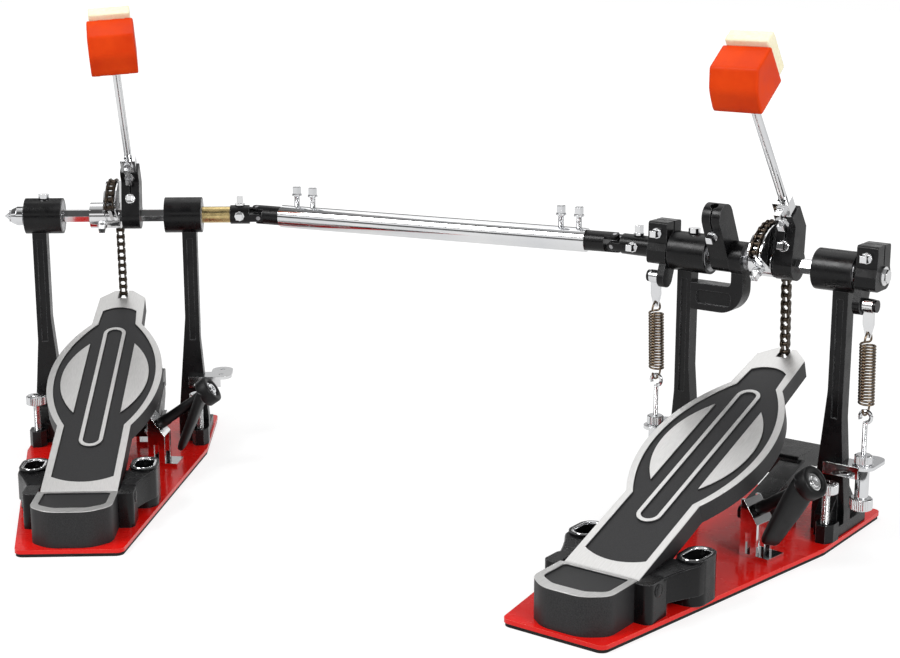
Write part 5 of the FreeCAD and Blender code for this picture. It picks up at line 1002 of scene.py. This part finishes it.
def make_tube_screws():
    shapes = []
    for low, high in islands("drive_tube_screws"):
        middle = (low + high) / 2
        seat = high.z - SCREW_FLANGE[1] - SCREW_SQUARE[1]
        shapes.append(placed(key_screw(seat - low.z), Matrix.Translation((middle.x, middle.y, seat))))
    piece = add_piece("tube_screw_threads", combined(shapes), LOOKS["chrome"], "drive_shaft",
                      30)
    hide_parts("drive_tube_screws")


# Key screws on the sloped front faces of the beater hubs

HUB_LEAN = {"main": math.radians(36.4), "slave": math.radians(31.8)}
HUB_FACE = Vector((15 * MM, 1.3 * MM, 17.2 * MM))
HUB_SLOPE = math.radians(43.9)
HUB_SHANK = 2 * MM


def make_hub_screws():
    for side, place in TRAINS.items():
        hub = place @ Matrix.Translation((0, 0, AXLE_HEIGHT)) @ Matrix.Rotation(HUB_LEAN[side], 4, "X")
        seat = hub @ Matrix.Translation(HUB_FACE) @ Matrix.Rotation(HUB_SLOPE, 4, "X")
        screw = placed(key_screw(HUB_SHANK), seat)
        add_piece(side + "_hub_screw", screw, LOOKS["chrome"], side + "_axle", 30)


# Floor and light

FLOOR_SIZE = 14.0
# Glow of the floor to the eye near and far, and those distances in metres
FLOOR_GLOW = (0.74, 0.95, 0.7, 2.2)
FLOOR_BOUNCE = 0.3
FLOOR_MIRRORED = 0.5
ROOM_LIGHT = 0.5
BACKDROP = (-0.593, 0.805, 0.0)
# Name, place, size in metres and power in watts
LAMPS = (("key", (-0.9, -1.6, 1.7), 0.9, 28), ("fill", (1.6, -0.6, 1.1), 0.7, 20),
         ("top", (-0.8, 0.9, 1.9), 1.8, 12))
LAMP_AIM = Vector((-0.25, -0.1, 0.1))


def mirror_rays(tree, path):
    """1 for rays from a mirror or through glass, 0 for others."""
    return maths(tree, "MAXIMUM", path.outputs["Is Glossy Ray"], path.outputs["Is Transmission Ray"])


def make_floor():
    bpy.ops.mesh.primitive_plane_add(size=FLOOR_SIZE)
    floor = bpy.context.object
    floor.name = "floor"
    material, tree, shader = new_material("floor_white", (0.3, 0.3, 0.3), 0.0, 0.6)
    shader.inputs["Specular IOR Level"].default_value = 0.0
    shader.inputs["Emission Color"].default_value = (1, 1, 1, 1)
    away = tree.nodes.new("ShaderNodeVectorMath")
    away.operation = "LENGTH"
    tree.links.new(point(tree), away.inputs[0])
    glow = between(tree, away.outputs["Value"], *FLOOR_GLOW)
    path = tree.nodes.new("ShaderNodeLightPath")
    bounced = mixed_number(tree, mirror_rays(tree, path), FLOOR_BOUNCE, FLOOR_MIRRORED)
    strength = mixed_number(tree, path.outputs["Is Camera Ray"], bounced, glow)
    tree.links.new(strength, shader.inputs["Emission Strength"])
    floor.data.materials.append(material)


def make_world():
    """White wherever it is looked at; mirrors also find a darker room opposite the white backdrop."""
    world = bpy.data.worlds.new("studio")
    bpy.context.scene.world = world
    world.use_nodes = True
    tree = world.node_tree
    back = tree.nodes["Background"]
    back.inputs["Color"].default_value = (1, 1, 1, 1)
    path = tree.nodes.new("ShaderNodeLightPath")
    toward = tree.nodes.new("ShaderNodeVectorMath")
    toward.operation = "DOT_PRODUCT"
    toward.inputs[1].default_value = BACKDROP
    way = tree.nodes.new("ShaderNodeTexCoord").outputs["Generated"]
    tree.links.new(way, toward.inputs[0])
    split = tree.nodes.new("ShaderNodeSeparateXYZ")
    tree.links.new(way, split.inputs["Vector"])
    rise = split.outputs["Z"]
    backdrop = between(tree, rise, 1.0, 0.12, 0.14, 0.4)
    strip = maths(tree, "MULTIPLY", between(tree, rise, 0.1, 1.0, 0.16, 0.22),
                  between(tree, rise, 1.0, 0.08, 0.36, 0.46))
    side = between(tree, toward.outputs["Value"], 0.0, 1.0, -0.2, 0.2)
    overhead = between(tree, rise, 0.0, 0.6, 0.82, 0.95)
    mirrored = maths(tree, "MAXIMUM", mixed_number(tree, side, strip, backdrop), overhead)
    unseen = mixed_number(tree, mirror_rays(tree, path), ROOM_LIGHT, mirrored)
    strength = mixed_number(tree, path.outputs["Is Camera Ray"], unseen, 1.0)
    tree.links.new(strength, back.inputs["Strength"])


def make_lights():
    for name, place, size, power in LAMPS:
        data = bpy.data.lights.new(name, "AREA")
        data.size = size
        data.energy = power
        lamp = bpy.data.objects.new(name, data)
        lamp.location = place
        lamp.rotation_euler = (LAMP_AIM - lamp.location).to_track_quat("-Z", "Y").to_euler()
        bpy.context.collection.objects.link(lamp)


make_camera()
dress_nodes()
make_springs()
make_chains()
make_heads()
make_spurs()
make_tension_rods()
make_recess_rims()
make_handles()
make_handle_screws()
make_shoulders()
make_bearing_faces()
make_tube_screws()
make_hub_screws()
make_floor()
make_world()
make_lights()
bpy.context.scene.view_settings.view_transform = "Standard"
